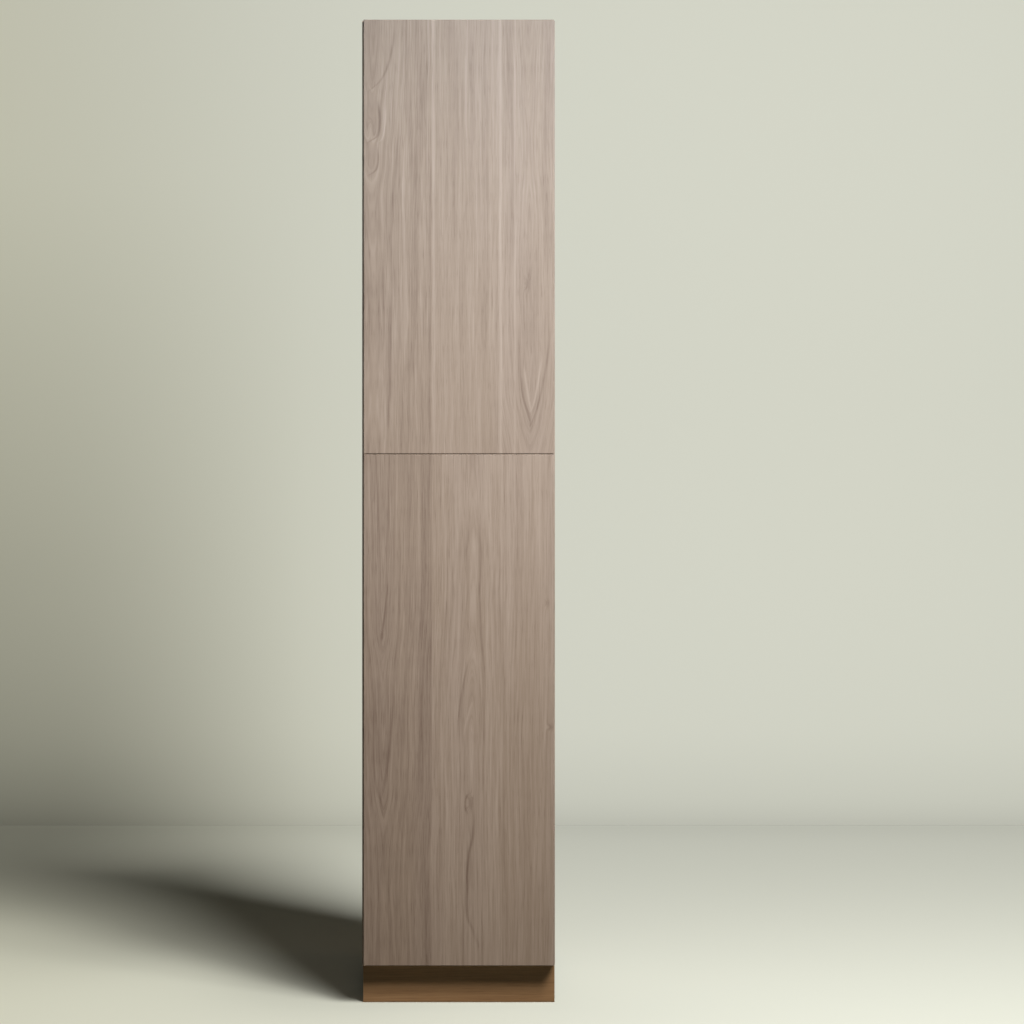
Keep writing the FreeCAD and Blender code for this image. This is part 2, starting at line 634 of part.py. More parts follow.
def cam_bolts():
    """Bolts from the sides into the cams."""
    bolts = []
    for level, _, _ in CROSS_PANELS:
        for x_end, inward in SIDES:
            for y in CAM_ROWS:
                start = (x_end, y, level)
                thread = rod(BOLT_THREAD_R, start, inward * -1, BOLT_THREAD_DEPTH)
                shaft = rod(BOLT_SHAFT_R, start, inward, CAM_SETBACK)
                head_start = (x_end + inward.x * (CAM_SETBACK - BOLT_HEAD_T), y, level)
                head = rod(BOLT_HEAD_R, head_start, inward, BOLT_HEAD_T)
                bolts.append(thread.fuse([shaft, head]).removeSplitter())
    return bolts


def dowels():
    """Dowels between the sides and the cross panels and rails."""
    places = [(y, level) for level, _, _ in CROSS_PANELS for y in DOWEL_ROWS] + RAIL_DOWELS
    return [rod(DOWEL_R, (x_end - inward.x * DOWEL_IN_SIDE, y, z), inward, DOWEL_LENGTH)
            for x_end, inward in SIDES
            for y, z in places]


# Legs

def leg_places():
    """Centres of the legs, the front pair first."""
    return [(x, y) for y in Y_LEGS for x in X_LEGS]


def socket_screw_places():
    """Centres of the four screws of every socket."""
    half = SOCKET_SCREW_SPACING / 2
    return [(x + dx, y + dy) for x, y in leg_places() for dx in (-half, half) for dy in (-half, half)]


def leg_socket(x, y):
    """Plate under the carcass with a boss that holds a leg."""
    plate = box(centred(x, SOCKET_SIZE), centred(y, SOCKET_SIZE), (Z_BOTTOM - SOCKET_T, Z_BOTTOM))
    corner = (SOCKET_SIZE - SOCKET_ROUND) / 2
    plate = round_edges(plate, SOCKET_ROUND,
                        lambda point: abs(point.x - x) > corner and abs(point.y - y) > corner)
    boss_end = Z_BOTTOM - SOCKET_T - SOCKET_BOSS_HEIGHT
    boss = rod(SOCKET_R, (x, y, boss_end), UP, SOCKET_BOSS_HEIGHT)
    bore = rod(COLUMN_R + COLUMN_PLAY, (x, y, boss_end), UP, SOCKET_BOSS_HEIGHT + SOCKET_T / 2)
    half = SOCKET_SCREW_SPACING / 2
    holes = [rod(SOCKET_SCREW_R + SCREW_PLAY, (x + dx, y + dy, Z_BOTTOM - SOCKET_T), UP, SOCKET_T)
             for dx in (-half, half) for dy in (-half, half)]
    return plate.fuse(boss).cut([bore] + holes).removeSplitter()


def leg_socket_screws():
    """Screws from the sockets up into the bottom."""
    pattern = screw(SOCKET_SCREW_R, SOCKET_SCREW_LENGTH)
    return [aimed(pattern, (x, y, Z_BOTTOM - SOCKET_T), DOWN) for x, y in socket_screw_places()]


def leg_column(x, y):
    """Leg tube, bored from below for the foot's spindle."""
    top = Z_BOTTOM - SOCKET_T / 2 - COLUMN_PLAY
    column = rod(COLUMN_R, (x, y, Z_COLUMN_BOTTOM), UP, top - Z_COLUMN_BOTTOM)
    depth = SPINDLE_LENGTH - FOOT_COLLAR_HEIGHT + SPINDLE_BORE_SPARE
    return column.cut(rod(SPINDLE_R + SPINDLE_PLAY, (x, y, Z_COLUMN_BOTTOM), UP, depth))


def foot(x, y):
    """Round foot with a grip collar and the spindle that screws into the leg."""
    pad = rod(FOOT_R, (x, y, 0), UP, FOOT_T)
    pad = round_edges(pad, FOOT_ROUND, lambda point: point.z > FOOT_T / 2)
    collar = rod(FOOT_COLLAR_R, (x, y, FOOT_T), UP, FOOT_COLLAR_HEIGHT)
    spindle = rod(SPINDLE_R, (x, y, FOOT_T), UP, SPINDLE_LENGTH)
    return pad.fuse([collar, spindle]).removeSplitter()


# Plinth

def plinth_clip_span():
    """Jaws of a plinth clip, from the back of the plinth past the middle of the front leg."""
    return (Y_PLINTH_REAR, Y_LEGS[0] + PLINTH_CLIP_OVERRUN)


def plinth_board():
    """Plinth board, its front edges rounded."""
    z_span = (PLINTH_FLOOR_GAP, Z_BOTTOM - PLINTH_TOP_GAP)
    board = box((X_LEFT, X_RIGHT), (Y_PLINTH_FRONT, Y_PLINTH_REAR), z_span)
    edge = PLINTH_T / 4
    board = round_edges(board, PLINTH_ROUND,
                        lambda point: point.y < Y_PLINTH_FRONT + edge and abs(point.x) < X_RIGHT - edge)
    screws = [hole_for(SMALL_SCREW_R, SMALL_SCREW_LENGTH - PLINTH_CLIP_T, place, BACKWARD)
              for place in plinth_screw_places(Y_PLINTH_REAR)]
    return board.cut(screws)


def plinth_screw_places(y):
    """Screws of the plinth clips, at a depth."""
    offset = (COLUMN_R + PLINTH_CLIP_T) / 2
    return [(x + side * offset, y, PLINTH_CLIP_LEVEL) for x in X_LEGS for side in (-1, 1)]


def plinth_clip(x):
    """Clip on the back of the plinth that grips one front leg."""
    y_span = plinth_clip_span()
    z_span = centred(PLINTH_CLIP_LEVEL, PLINTH_CLIP_HEIGHT)
    inner = COLUMN_R + FACE_PLAY
    outer = inner + PLINTH_CLIP_T
    block = box((x - outer, x + outer), y_span, z_span)
    gap = box((x - inner, x + inner), (y_span[0] + PLINTH_CLIP_T, y_span[1]), z_span)
    holes = [rod(SMALL_SCREW_R + SCREW_PLAY, (hole_x, Y_PLINTH_REAR, z), BACKWARD, PLINTH_CLIP_T)
             for hole_x, _, z in plinth_screw_places(Y_PLINTH_REAR) if abs(hole_x - x) < outer]
    return block.cut([gap] + holes)


def plinth_clip_screws():
    """Screws from the clips into the plinth."""
    pattern = screw(SMALL_SCREW_R, SMALL_SCREW_LENGTH)
    return [aimed(pattern, place, BACKWARD) for place in plinth_screw_places(Y_PLINTH_REAR + PLINTH_CLIP_T)]


# Hinges

def hinge_plate(level):
    """Mounting plate on the left side: a wing for the screws and a rail for the arm."""
    base_x = (X_IN_LEFT, X_IN_LEFT + PLATE_BASE_T)
    wing = box(base_x, centred(Y_ROW_FRONT, PLATE_WING_WIDTH), centred(level, PLATE_WING_LENGTH))
    tongue_width = ARM_WIDTH - 2 * (ARM_FLANGE_T + PLATE_PLAY)
    tongue = box((X_IN_LEFT, X_ARM - ARM_T), centred(Y_ROW_FRONT, PLATE_LENGTH),
                 centred(level, tongue_width))
    holes = [rod(PLATE_SCREW_R + SCREW_PLAY, (X_IN_LEFT, Y_ROW_FRONT, level + offset), RIGHTWARD,
                 PLATE_BASE_T)
             for offset in (-ROW_PITCH / 2, ROW_PITCH / 2)]
    arm_holes = [hole_for(SMALL_SCREW_R, arm_screw_depth(), place, RIGHTWARD)
                 for place in arm_screw_places(level, X_ARM - ARM_T)]
    return wing.fuse(tongue).cut(holes + arm_holes).removeSplitter()


def hinge_plate_screws():
    """Screws from the hinge plates into the left side."""
    pattern = screw(PLATE_SCREW_R, PLATE_SCREW_LENGTH + PLATE_BASE_T)
    return [aimed(pattern, (x + PLATE_BASE_T, y, z), RIGHTWARD) for x, y, z in plate_screw_places()]


def arm_screw_depth():
    """Depth of the arm screws in the plate, which stop short of the side."""
    return X_ARM - ARM_T - X_IN_LEFT - 2 * SCREW_PLAY


def arm_screw_places(level, x):
    """The two screws of one arm, at a distance from the side."""
    return [(x, Y_ROW_FRONT + offset, level) for offset in (-PLATE_LENGTH / 4, PLATE_LENGTH / 4)]


def hinge_arm(level):
    """Cranked arm: an eye on the pin, a short leg in the cup and a long leg on the plate."""
    neck_z = centred(level, ARM_NECK_WIDTH)
    eye = rod(HINGE_EYE_R, (X_PIVOT, Y_PIVOT, neck_z[0]), UP, ARM_NECK_WIDTH)
    short_leg = box((X_PIVOT, X_ARM), centred(Y_PIVOT, ARM_T), neck_z)
    neck_end = Y_FRONT + ARM_NECK_END
    rear = Y_ROW_FRONT + PLATE_LENGTH / 2
    neck = box((X_ARM - ARM_T, X_ARM), (Y_PIVOT - ARM_T / 2, neck_end), neck_z)
    wide_z = centred(level, ARM_WIDTH)
    web = box((X_ARM - ARM_T, X_ARM), (neck_end, rear), wide_z)
    flange_x = (X_IN_LEFT + PLATE_BASE_T + PLATE_PLAY, X_ARM)
    low = box(flange_x, (neck_end, rear), (wide_z[0], wide_z[0] + ARM_FLANGE_T))
    high = box(flange_x, (neck_end, rear), (wide_z[1] - ARM_FLANGE_T, wide_z[1]))
    bore = rod(HINGE_PIN_R + HINGE_PIN_PLAY, (X_PIVOT, Y_PIVOT, neck_z[0]), UP, ARM_NECK_WIDTH)
    holes = [rod(SMALL_SCREW_R + SCREW_PLAY, place, RIGHTWARD, ARM_T)
             for place in arm_screw_places(level, X_ARM - ARM_T)]
    return eye.fuse([short_leg, neck, web, low, high]).cut([bore] + holes).removeSplitter()


def hinge_arm_screws():
    """Two screws from each arm into its plate."""
    pattern = screw(SMALL_SCREW_R, ARM_T + arm_screw_depth())
    places = [place for level in ALL_HINGES for place in arm_screw_places(level, X_ARM)]
    return [aimed(pattern, place, RIGHTWARD) for place in places]


def hinge_cup(level):
    """Cup let into the door, with a flange and two screw wings on its rear face."""
    mouth = (X_CUP, Y_DOOR_REAR, level)
    shell = rod(CUP_R, mouth, FORWARD, CUP_DEPTH)
    flange = rod(CUP_FLANGE_R, mouth, BACKWARD, CUP_FLANGE_T)
    x_wing = X_CUP + CUP_WING_OFFSET
    y_span = (Y_DOOR_REAR, Y_DOOR_REAR + CUP_FLANGE_T)
    wing_length = CUP_SCREW_SPACING + CUP_WING_WIDTH
    wings = box(centred(x_wing, CUP_WING_WIDTH), y_span, centred(level, wing_length))
    hollow_mouth = (X_CUP, Y_DOOR_REAR + CUP_FLANGE_T, level)
    hollow = rod(CUP_R - CUP_WALL, hollow_mouth, FORWARD, CUP_FLANGE_T + CUP_DEPTH - CUP_WALL)
    lug_y = (Y_DOOR_REAR - CUP_DEPTH, Y_PIVOT + LUG_WIDTH / 2)
    lugs = box(centred(X_PIVOT, LUG_WIDTH), lug_y, centred(level, 2 * CUP_R))
    middle = box(centred(X_PIVOT, 2 * LUG_WIDTH), lug_y, centred(level, ARM_NECK_WIDTH + 2 * LUG_PLAY))
    lugs = lugs.cut(middle).common(shell)
    pin_hole = rod(HINGE_PIN_R + HINGE_PIN_PLAY, (X_PIVOT, Y_PIVOT, level - HINGE_PIN_LENGTH / 2), UP,
                   HINGE_PIN_LENGTH)
    screws = [rod(CUP_SCREW_R + SCREW_PLAY, (x_wing, Y_DOOR_REAR, level + offset), BACKWARD, CUP_FLANGE_T)
              for offset in (-CUP_SCREW_SPACING / 2, CUP_SCREW_SPACING / 2)]
    cup = shell.fuse([flange, wings]).cut([hollow] + screws)
    return cup.fuse(lugs).cut(pin_hole).removeSplitter()


def cup_screw_places(levels, y):
    """The two screws of each cup, at a depth."""
    return [(X_CUP + CUP_WING_OFFSET, y, level + offset)
            for level in levels
            for offset in (-CUP_SCREW_SPACING / 2, CUP_SCREW_SPACING / 2)]


def cup_screws(levels):
    """Screws from the cups into a door."""
    pattern = screw(CUP_SCREW_R, CUP_SCREW_LENGTH)
    return [aimed(pattern, place, BACKWARD) for place in cup_screw_places(levels, Y_DOOR_REAR + CUP_FLANGE_T)]


def hinge_pins(levels):
    """Pins between the lugs of the cups."""
    return [rod(HINGE_PIN_R, (X_PIVOT, Y_PIVOT, level - HINGE_PIN_LENGTH / 2), UP, HINGE_PIN_LENGTH)
            for level in levels]


# Push latches

def latch_housing(level):
    """Housing on the right side, bored from the front for its plunger."""
    y_span = (Y_LATCH_FRONT, Y_LATCH_FRONT + LATCH_LENGTH)
    block = box((X_LATCH - LATCH_WIDTH / 2, X_IN_RIGHT), y_span, centred(level, LATCH_HEIGHT))
    ear_y = (y_span[1], y_span[1] + LATCH_EAR_LENGTH)
    ear = box((X_IN_RIGHT - LATCH_EAR_T, X_IN_RIGHT), ear_y, centred(level, LATCH_HEIGHT))
    bore = rod(PLUNGER_R + PLUNGER_PLAY, (X_LATCH, Y_LATCH_FRONT, level), BACKWARD,
               LATCH_LENGTH - LATCH_BORE_END)
    holes = [rod(SMALL_SCREW_R + SCREW_PLAY, (X_IN_RIGHT, y, z), LEFTWARD, LATCH_EAR_T)
             for _, y, z in latch_screw_places() if abs(z - level) < LATCH_HEIGHT]
    return block.fuse(ear).cut([bore] + holes).removeSplitter()


def latch_screws():
    """Screws from the latch housings into the right side."""
    pattern = screw(SMALL_SCREW_R, SMALL_SCREW_LENGTH)
    return [aimed(pattern, (x - LATCH_EAR_T, y, z), LEFTWARD) for x, y, z in latch_screw_places()]


def plunger_tip():
    """Front of the plunger, just clear of the strike plate on the closed door."""
    return Y_DOOR_REAR + STRIKE_T + FACE_PLAY


def latch_plunger(level):
    """Plunger with a narrower magnet tip."""
    tip = rod(PLUNGER_TIP_R, (X_LATCH, plunger_tip(), level), BACKWARD, PLUNGER_TIP_LENGTH)
    shaft_start = (X_LATCH, plunger_tip() + PLUNGER_TIP_LENGTH, level)
    shaft = rod(PLUNGER_R, shaft_start, BACKWARD, PLUNGER_LENGTH - PLUNGER_TIP_LENGTH)
    return tip.fuse(shaft)


def latch_spring(level):
    """Wire spring between the end of the plunger and the end of the housing's bore.

    Each half turn is an arc in a tilted plane, and the arcs run smoothly into each other.
    """
    start = plunger_tip() + PLUNGER_LENGTH + SPRING_WIRE_R + FACE_PLAY
    end = Y_LATCH_FRONT + LATCH_LENGTH - LATCH_BORE_END - SPRING_WIRE_R - FACE_PLAY
    rise = (end - start) / SPRING_TURNS / 2
    arcs = []
    for index in range(SPRING_TURNS * 2):
        side = (-1) ** index
        low = Vector(side * SPRING_COIL_R, 0, index * rise)
        high = Vector(-side * SPRING_COIL_R, 0, (index + 1) * rise)
        bulge = Vector(0, side * low.distanceToPoint(high) / 2, 0)
        arcs.append(Part.Arc(low, (low + high) * 0.5 + bulge, high).toShape())
    section = Part.makeCircle(SPRING_WIRE_R, Vector(SPRING_COIL_R, 0, 0), Vector(0, 1, 0))
    wire = Part.Wire(arcs).makePipeShell([Part.Wire(section)], True, True)
    return aimed(wire, (X_LATCH, start, level), BACKWARD)


def strike_plate(level):
    """Steel disc stuck to the back of the door for the plunger's magnet."""
    return rod(STRIKE_R, (X_LATCH, Y_DOOR_REAR, level), BACKWARD, STRIKE_T)


# Doors

def door_panel(z_span, hinge_list):
    """Door core between its edge bands, bored for the hinge cups and screws."""
    inner_x = (X_DOOR_LEFT + DOOR_BAND_T, X_DOOR_RIGHT - DOOR_BAND_T)
    inner_z = (z_span[0] + DOOR_BAND_T, z_span[1] - DOOR_BAND_T)
    panel = box(inner_x, (Y_DOOR_FRONT, Y_DOOR_REAR), inner_z)
    cuts = [rod(CUP_BORE_R, (X_CUP, Y_DOOR_REAR, level), FORWARD, CUP_DEPTH + BACK_FACE_PLAY)
            for level in hinge_list]
    cuts += [hole_for(CUP_SCREW_R, CUP_SCREW_LENGTH - CUP_FLANGE_T, place, BACKWARD)
             for place in cup_screw_places(hinge_list, Y_DOOR_REAR)]
    return panel.cut(cuts)


def door_bands(z_span):
    """Four edge bands round a door, with their outer corners rounded."""
    y_span = (Y_DOOR_FRONT, Y_DOOR_REAR)
    bands = []
    for x, side in ((X_DOOR_LEFT, 1), (X_DOOR_RIGHT, -1)):
        band = box(sorted((x, x + side * DOOR_BAND_T)), y_span, z_span)
        bands.append(round_edges(band, DOOR_BAND_ROUND,
                                 lambda point, x=x: abs(point.x - x) < DOOR_BAND_T / 4
                                 and z_span[0] + DOOR_BAND_T < point.z < z_span[1] - DOOR_BAND_T))
    x_inside = (X_DOOR_LEFT + DOOR_BAND_T, X_DOOR_RIGHT - DOOR_BAND_T)
    for z, side in ((z_span[0], 1), (z_span[1], -1)):
        band = box(x_inside, y_span, sorted((z, z + side * DOOR_BAND_T)))
        bands.append(round_edges(band, DOOR_BAND_ROUND,
                                 lambda point, z=z: abs(point.z - z) < DOOR_BAND_T / 4
                                 and x_inside[0] + DOOR_BAND_T < point.x < x_inside[1] - DOOR_BAND_T))
    return bands


def save_door(name, z_span, hinge_list, latch_level):
    """Writes every node of one door."""
    save(name + "_door_panel", [door_panel(z_span, hinge_list)])
    save(name + "_door_edge_bands", door_bands(z_span))
    save(name + "_hinge_cups", [hinge_cup(level) for level in hinge_list])
    save(name + "_hinge_cup_screws", cup_screws(hinge_list))
    save(name + "_hinge_pins", hinge_pins(hinge_list))
    save(name + "_strike_plate", [strike_plate(latch_level)])
    save(name + "_latch_plunger", [latch_plunger(latch_level)])


os.makedirs("parts", exist_ok=True)

save("left_side_panel", [left_side()])
save("right_side_panel", [right_side()])
save("top_panel", [top_panel()])
save("bottom_panel", [bottom_panel()])
save("fixed_shelf", [fixed_shelf()])
save("adjustable_shelf", [adjustable_shelf()])
save("carcass_edge_bands", carcass_bands())
save("shelf_edge_band", [shelf_band()])
save("shelf_pins", shelf_pins())
save("upper_back_panel", [upper_back()])
save("lower_back_panel", [lower_back()])
save("back_joint_strip", [back_joint_strip()])
save("wall_rail", [wall_rail()])
save("broom_rail", [broom_rail()])
save("broom_clips", [broom_clip(x) for x in spread(CLIP_COUNT, CLIP_PITCH)])
save("broom_clip_screws", broom_clip_screws())
save("cam_locks", cam_locks())
save("cam_bolts", cam_bolts())
save("dowels", dowels())
save("leg_sockets", [leg_socket(x, y) for x, y in leg_places()])
save("leg_socket_screws", leg_socket_screws())
save("leg_columns", [leg_column(x, y) for x, y in leg_places()])
for corner, (corner_x, corner_y) in zip(LEG_CORNERS, leg_places()):
    save(corner + "_foot", [foot(corner_x, corner_y)])
save("plinth_board", [plinth_board()])
save("plinth_clips", [plinth_clip(x) for x in X_LEGS])
save("plinth_clip_screws", plinth_clip_screws())
save("hinge_plates", [hinge_plate(level) for level in ALL_HINGES])
save("hinge_plate_screws", hinge_plate_screws())
save("hinge_arms", [hinge_arm(level) for level in ALL_HINGES])
save("hinge_arm_screws", hinge_arm_screws())
save("latch_housings", [latch_housing(level) for level in LATCH_LEVELS])
save("latch_housing_screws", latch_screws())
save("latch_springs", [latch_spring(level) for level in LATCH_LEVELS])
save_door("upper", (Z_UPPER_DOOR_BOTTOM, Z_UPPER_DOOR_TOP), UPPER_HINGES, Z_UPPER_LATCH)
save_door("lower", (Z_LOWER_DOOR_BOTTOM, Z_LOWER_DOOR_TOP), LOWER_HINGES, Z_LOWER_LATCH)
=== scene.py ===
"""Broom cupboard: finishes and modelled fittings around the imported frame, in metres."""

import json
import logging
import math
from dataclasses import dataclass, field
from enum import Enum
from typing import Callable, Iterable, Sequence

import bmesh
import bpy
from mathutils import Matrix, Vector

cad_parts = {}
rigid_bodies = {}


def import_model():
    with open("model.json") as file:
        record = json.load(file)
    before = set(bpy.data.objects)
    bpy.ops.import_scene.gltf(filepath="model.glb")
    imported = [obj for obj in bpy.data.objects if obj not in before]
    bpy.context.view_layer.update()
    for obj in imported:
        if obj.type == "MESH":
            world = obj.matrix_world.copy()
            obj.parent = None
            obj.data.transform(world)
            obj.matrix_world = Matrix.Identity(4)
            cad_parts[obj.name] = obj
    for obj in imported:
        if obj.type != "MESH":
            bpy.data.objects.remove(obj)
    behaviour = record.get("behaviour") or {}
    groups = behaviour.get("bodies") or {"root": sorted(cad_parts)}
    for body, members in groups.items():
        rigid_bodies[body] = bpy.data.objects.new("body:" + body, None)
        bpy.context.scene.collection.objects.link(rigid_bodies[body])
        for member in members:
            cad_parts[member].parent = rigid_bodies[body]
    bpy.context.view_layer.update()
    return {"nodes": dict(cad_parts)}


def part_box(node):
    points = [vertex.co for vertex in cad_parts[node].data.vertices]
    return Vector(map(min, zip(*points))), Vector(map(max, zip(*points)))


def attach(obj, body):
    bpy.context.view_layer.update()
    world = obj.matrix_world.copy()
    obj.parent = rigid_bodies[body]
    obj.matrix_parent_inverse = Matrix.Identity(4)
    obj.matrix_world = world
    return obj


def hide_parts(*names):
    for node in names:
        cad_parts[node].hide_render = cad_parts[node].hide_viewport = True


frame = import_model()

Colour = tuple[float, float, float]
Place = tuple[float, float, float]
Line = tuple[tuple[float, float], ...]
Socket = bpy.types.NodeSocket
Vert = bmesh.types.BMVert

LOG = logging.getLogger("broom_cupboard")
MM = 0.001
WELD = 0.001 * MM  # Vertices closer than this are one.
FLAT = 0.02 * MM  # A face closer to a plane than this lies in it.
CREASE = math.radians(32.0)  # Edges sharper than this stay sharp.
BEVEL_LIMIT = math.radians(34.0)  # Edges sharper than this are bevelled on softened pieces.
FLUSH = math.radians(0.5)  # Faces that turn less than this from one to the next are one.
ACROSS: Place = (1.0, 0.0, 0.0)
DEEP: Place = (0.0, 1.0, 0.0)
UPRIGHT: Place = (0.0, 0.0, 1.0)


class Body(Enum):
    """The bodies that pieces ride on."""

    CARCASS = "carcass"
    UPPER_DOOR = "upper_door"
    LOWER_DOOR = "lower_door"
    UPPER_PLUNGER = "upper_plunger"
    LOWER_PLUNGER = "lower_plunger"
    PLINTH = "plinth"
    FRONT_LEFT_FOOT = "front_left_foot"
    FRONT_RIGHT_FOOT = "front_right_foot"
    REAR_LEFT_FOOT = "rear_left_foot"
    REAR_RIGHT_FOOT = "rear_right_foot"


class Slot(Enum):
    """The record's material slots, one named for each kind of modelled piece."""

    ZINC = "zinc"
    STEEL = "steel"
    SPRING_STEEL = "spring_steel"
    NICKEL = "nickel"
    BEECH = "beech"
    LEG_PLASTIC = "leg_plastic"
    LATCH_PLASTIC = "latch_plastic"


class Grain(Enum):
    """How a board's grain lies: what x, y and z weigh in the place across it and along it."""

    FRONT = ((1.0, 1.0, 0.0), UPRIGHT)
    SIDE = (DEEP, UPRIGHT)
    LEVEL = ((0.0, 1.0, 1.0), ACROSS)


class Way(Enum):
    """Directions in the cupboard's frame."""

    LEFT = (-1.0, 0.0, 0.0)
    RIGHT = ACROSS
    FRONT = (0.0, -1.0, 0.0)
    BACK = DEEP
    UP = UPRIGHT
    DOWN = (0.0, 0.0, -1.0)


def srgb(red: int, green: int, blue: int) -> Colour:
    """Turns a screen colour into linear light.

    Args:
        red: Red, from 0 to 255.
        green: Green, from 0 to 255.
        blue: Blue, from 0 to 255.

    Returns:
        The same colour as linear red, green and blue.
    """
    def linear(value: int) -> float:
        """One channel in linear light."""
        share = value / 255
        return share / 12.92 if share <= 0.04045 else ((share + 0.055) / 1.055) ** 2.4

    return (linear(red), linear(green), linear(blue))


# Material graphs

@dataclass
class Surface:
    """What a finish looks like at a point: colour, roughness and height in metres."""

    colour: Socket
    roughness: Socket
    height: Socket


class Tree:
    """A node tree, built one typed call at a time."""

    def __init__(self, tree: bpy.types.NodeTree) -> None:
        """Empties the tree."""
        self.tree = tree
        tree.nodes.clear()

    def node(self, kind: str, **settings: object) -> bpy.types.Node:
        """Adds a node.

        Args:
            kind: Blender's name of the node type.
            **settings: Attributes to set on the node.

        Returns:
            The new node.
        """
        made = self.tree.nodes.new(kind)
        for name, value in settings.items():
            setattr(made, name, value)
        return made

    def feed(self, target: Socket, value: object) -> None:
        """Links a socket to an input, or sets the input to a plain value.

        Args:
            target: The input.
            value: A socket, or a number or colour.
        """
        if isinstance(value, bpy.types.NodeSocket):
            self.tree.links.new(value, target)
        elif target.type == "RGBA" and len(value) == 3:
            target.default_value = (*value, 1.0)
        else:
            target.default_value = value

    def math(self, operation: str, *values: object, clamp: bool = False) -> Socket:
        """Adds a Math node.

        Args:
            operation: Blender's name of the operation.
            *values: Its inputs in order, sockets or numbers.
            clamp: Whether to keep the result from 0 to 1.

        Returns:
            The result.
        """
        made = self.node("ShaderNodeMath", operation=operation, use_clamp=clamp)
        for target, value in zip(made.inputs, values):
            self.feed(target, value)
        return made.outputs[0]

    def plus(self, *values: object) -> Socket:
        """Adds up two or more values.

        Args:
            *values: The values, sockets or numbers.

        Returns:
            Their sum.
        """
        total = values[0]
        for value in values[1:]:
            total = self.math("ADD", total, value)
        return total

    def times(self, value: object, by: object) -> Socket:
        """Multiplies two values."""
        return self.math("MULTIPLY", value, by)

    def vector(self, x: object = 0.0, y: object = 0.0, z: object = 0.0) -> Socket:
        """Puts three values together as a vector.

        Args:
            x: Its first part.
            y: Its second part.
            z: Its third part.

        Returns:
            The vector.
        """
        made = self.node("ShaderNodeCombineXYZ")
        for target, value in zip(made.inputs, (x, y, z)):
            self.feed(target, value)
        return made.outputs[0]

    def noise(self, vector: Socket, scale: float = 1.0, detail: float = 1.0,
              roughness: float = 0.5) -> Socket:
        """Adds noise between 0 and 1, about 0.5.

        Args:
            vector: Where to read it.
            scale: Cells for each unit of the vector.
            detail: How many finer layers it has.
            roughness: How strong the finer layers are.

        Returns:
            The noise.
        """
        made = self.node("ShaderNodeTexNoise", noise_dimensions="3D")
        self.feed(made.inputs["Vector"], vector)
        made.inputs["Scale"].default_value = scale
        made.inputs["Detail"].default_value = detail
        made.inputs["Roughness"].default_value = roughness
        return made.outputs["Fac"]

    def drawn(self, place: tuple[Socket, Socket], rates: tuple[float, float], seed: float,
              detail: float = 1.0) -> Socket:
        """Adds noise that is drawn out along the grain.

        Args:
            place: Place across the grain and along it.
            rates: Cells for each metre in those two directions.
            seed: Which slice of the noise it is.
            detail: How many finer layers it has.

        Returns:
            The noise.
        """
        stretched = [self.times(part, rate) for part, rate in zip(place, rates)]
        return self.noise(self.vector(*stretched, seed), detail=detail)

    def swing(self, value: Socket, reach: float) -> Socket:
        """Turns noise into a value about 0 that reaches so far each way."""
        return self.times(self.math("SUBTRACT", value, 0.5), 2 * reach)

    def between(self, value: Socket, low: float, high: float) -> Socket:
        """Rises smoothly from 0 at a low value to 1 at a high one.

        Args:
            value: The value.
            low: Where the result is 0.
            high: Where the result is 1, above or below that.

        Returns:
            From 0 to 1.
        """
        made = self.node("ShaderNodeMapRange", interpolation_type="SMOOTHSTEP")
        self.feed(made.inputs["Value"], value)
        made.inputs["From Min"].default_value = low
        made.inputs["From Max"].default_value = high
        return made.outputs["Result"]

    def bell(self, value: Socket, centre: float, width: float) -> Socket:
        """Square of a value's distance from a centre, in widths."""
        away = self.math("DIVIDE", self.math("SUBTRACT", value, centre), width)
        return self.times(away, away)

    def fade(self, squares: Socket) -> Socket:
        """Falls from 1 to 0 as the sum of squared distances grows."""
        return self.math("EXPONENT", self.times(squares, -1.0))

    def patch(self, first: Socket, second: Socket, middle: tuple[float, float],
              widths: tuple[float, float]) -> Socket:
        """A soft-edged oval patch.

        Args:
            first: One coordinate.
            second: The other coordinate.
            middle: Where the patch's middle is in both.
            widths: How wide it is in both.

        Returns:
            From 1 at the middle to 0 far away.
        """
        squares = [self.bell(*part) for part in zip((first, second), middle, widths)]
        return self.fade(self.plus(*squares))

    def rest(self, share: Socket, strength: object = 1.0) -> Socket:
        """What is left of 1 when a share of some strength is taken away."""
        return self.math("SUBTRACT", 1.0, self.times(share, strength))

    def seen(self) -> Socket:
        """1 for the rays that show a thing itself: straight to the camera, in gloss or through glass.

        Returns:
            1 for such rays and 0 for the rest.
        """
        rays = self.node("ShaderNodeLightPath").outputs
        mirrored = self.math("MAXIMUM", rays["Is Camera Ray"], rays["Is Glossy Ray"])
        return self.math("MAXIMUM", mirrored, rays["Is Transmission Ray"])

    def blend(self, share: object, first: object, second: object) -> Socket:
        """Mixes two numbers.

        Args:
            share: How much of the second, from 0 to 1.
            first: A number or socket.
            second: A number or socket.

        Returns:
            The mixed number.
        """
        made = self.node("ShaderNodeMix", data_type="FLOAT")
        for name, value in (("Factor", share), ("A", first), ("B", second)):
            self.feed(made.inputs[name], value)
        return made.outputs["Result"]

    def tint(self, share: object, first: object, second: object, way: str = "MIX") -> Socket:
        """Mixes two colours.

        Args:
            share: How much of the second, from 0 to 1.
            first: A colour or socket.
            second: A colour or socket.
            way: Blender's name of how they mix.

        Returns:
            The mixed colour.
        """
        made = self.node("ShaderNodeMix", data_type="RGBA", blend_type=way)
        inputs = [socket for socket in made.inputs if socket.type == "RGBA"]
        self.feed(made.inputs["Factor"], share)
        self.feed(inputs[0], first)
        self.feed(inputs[1], second)
        return next(socket for socket in made.outputs if socket.type == "RGBA")

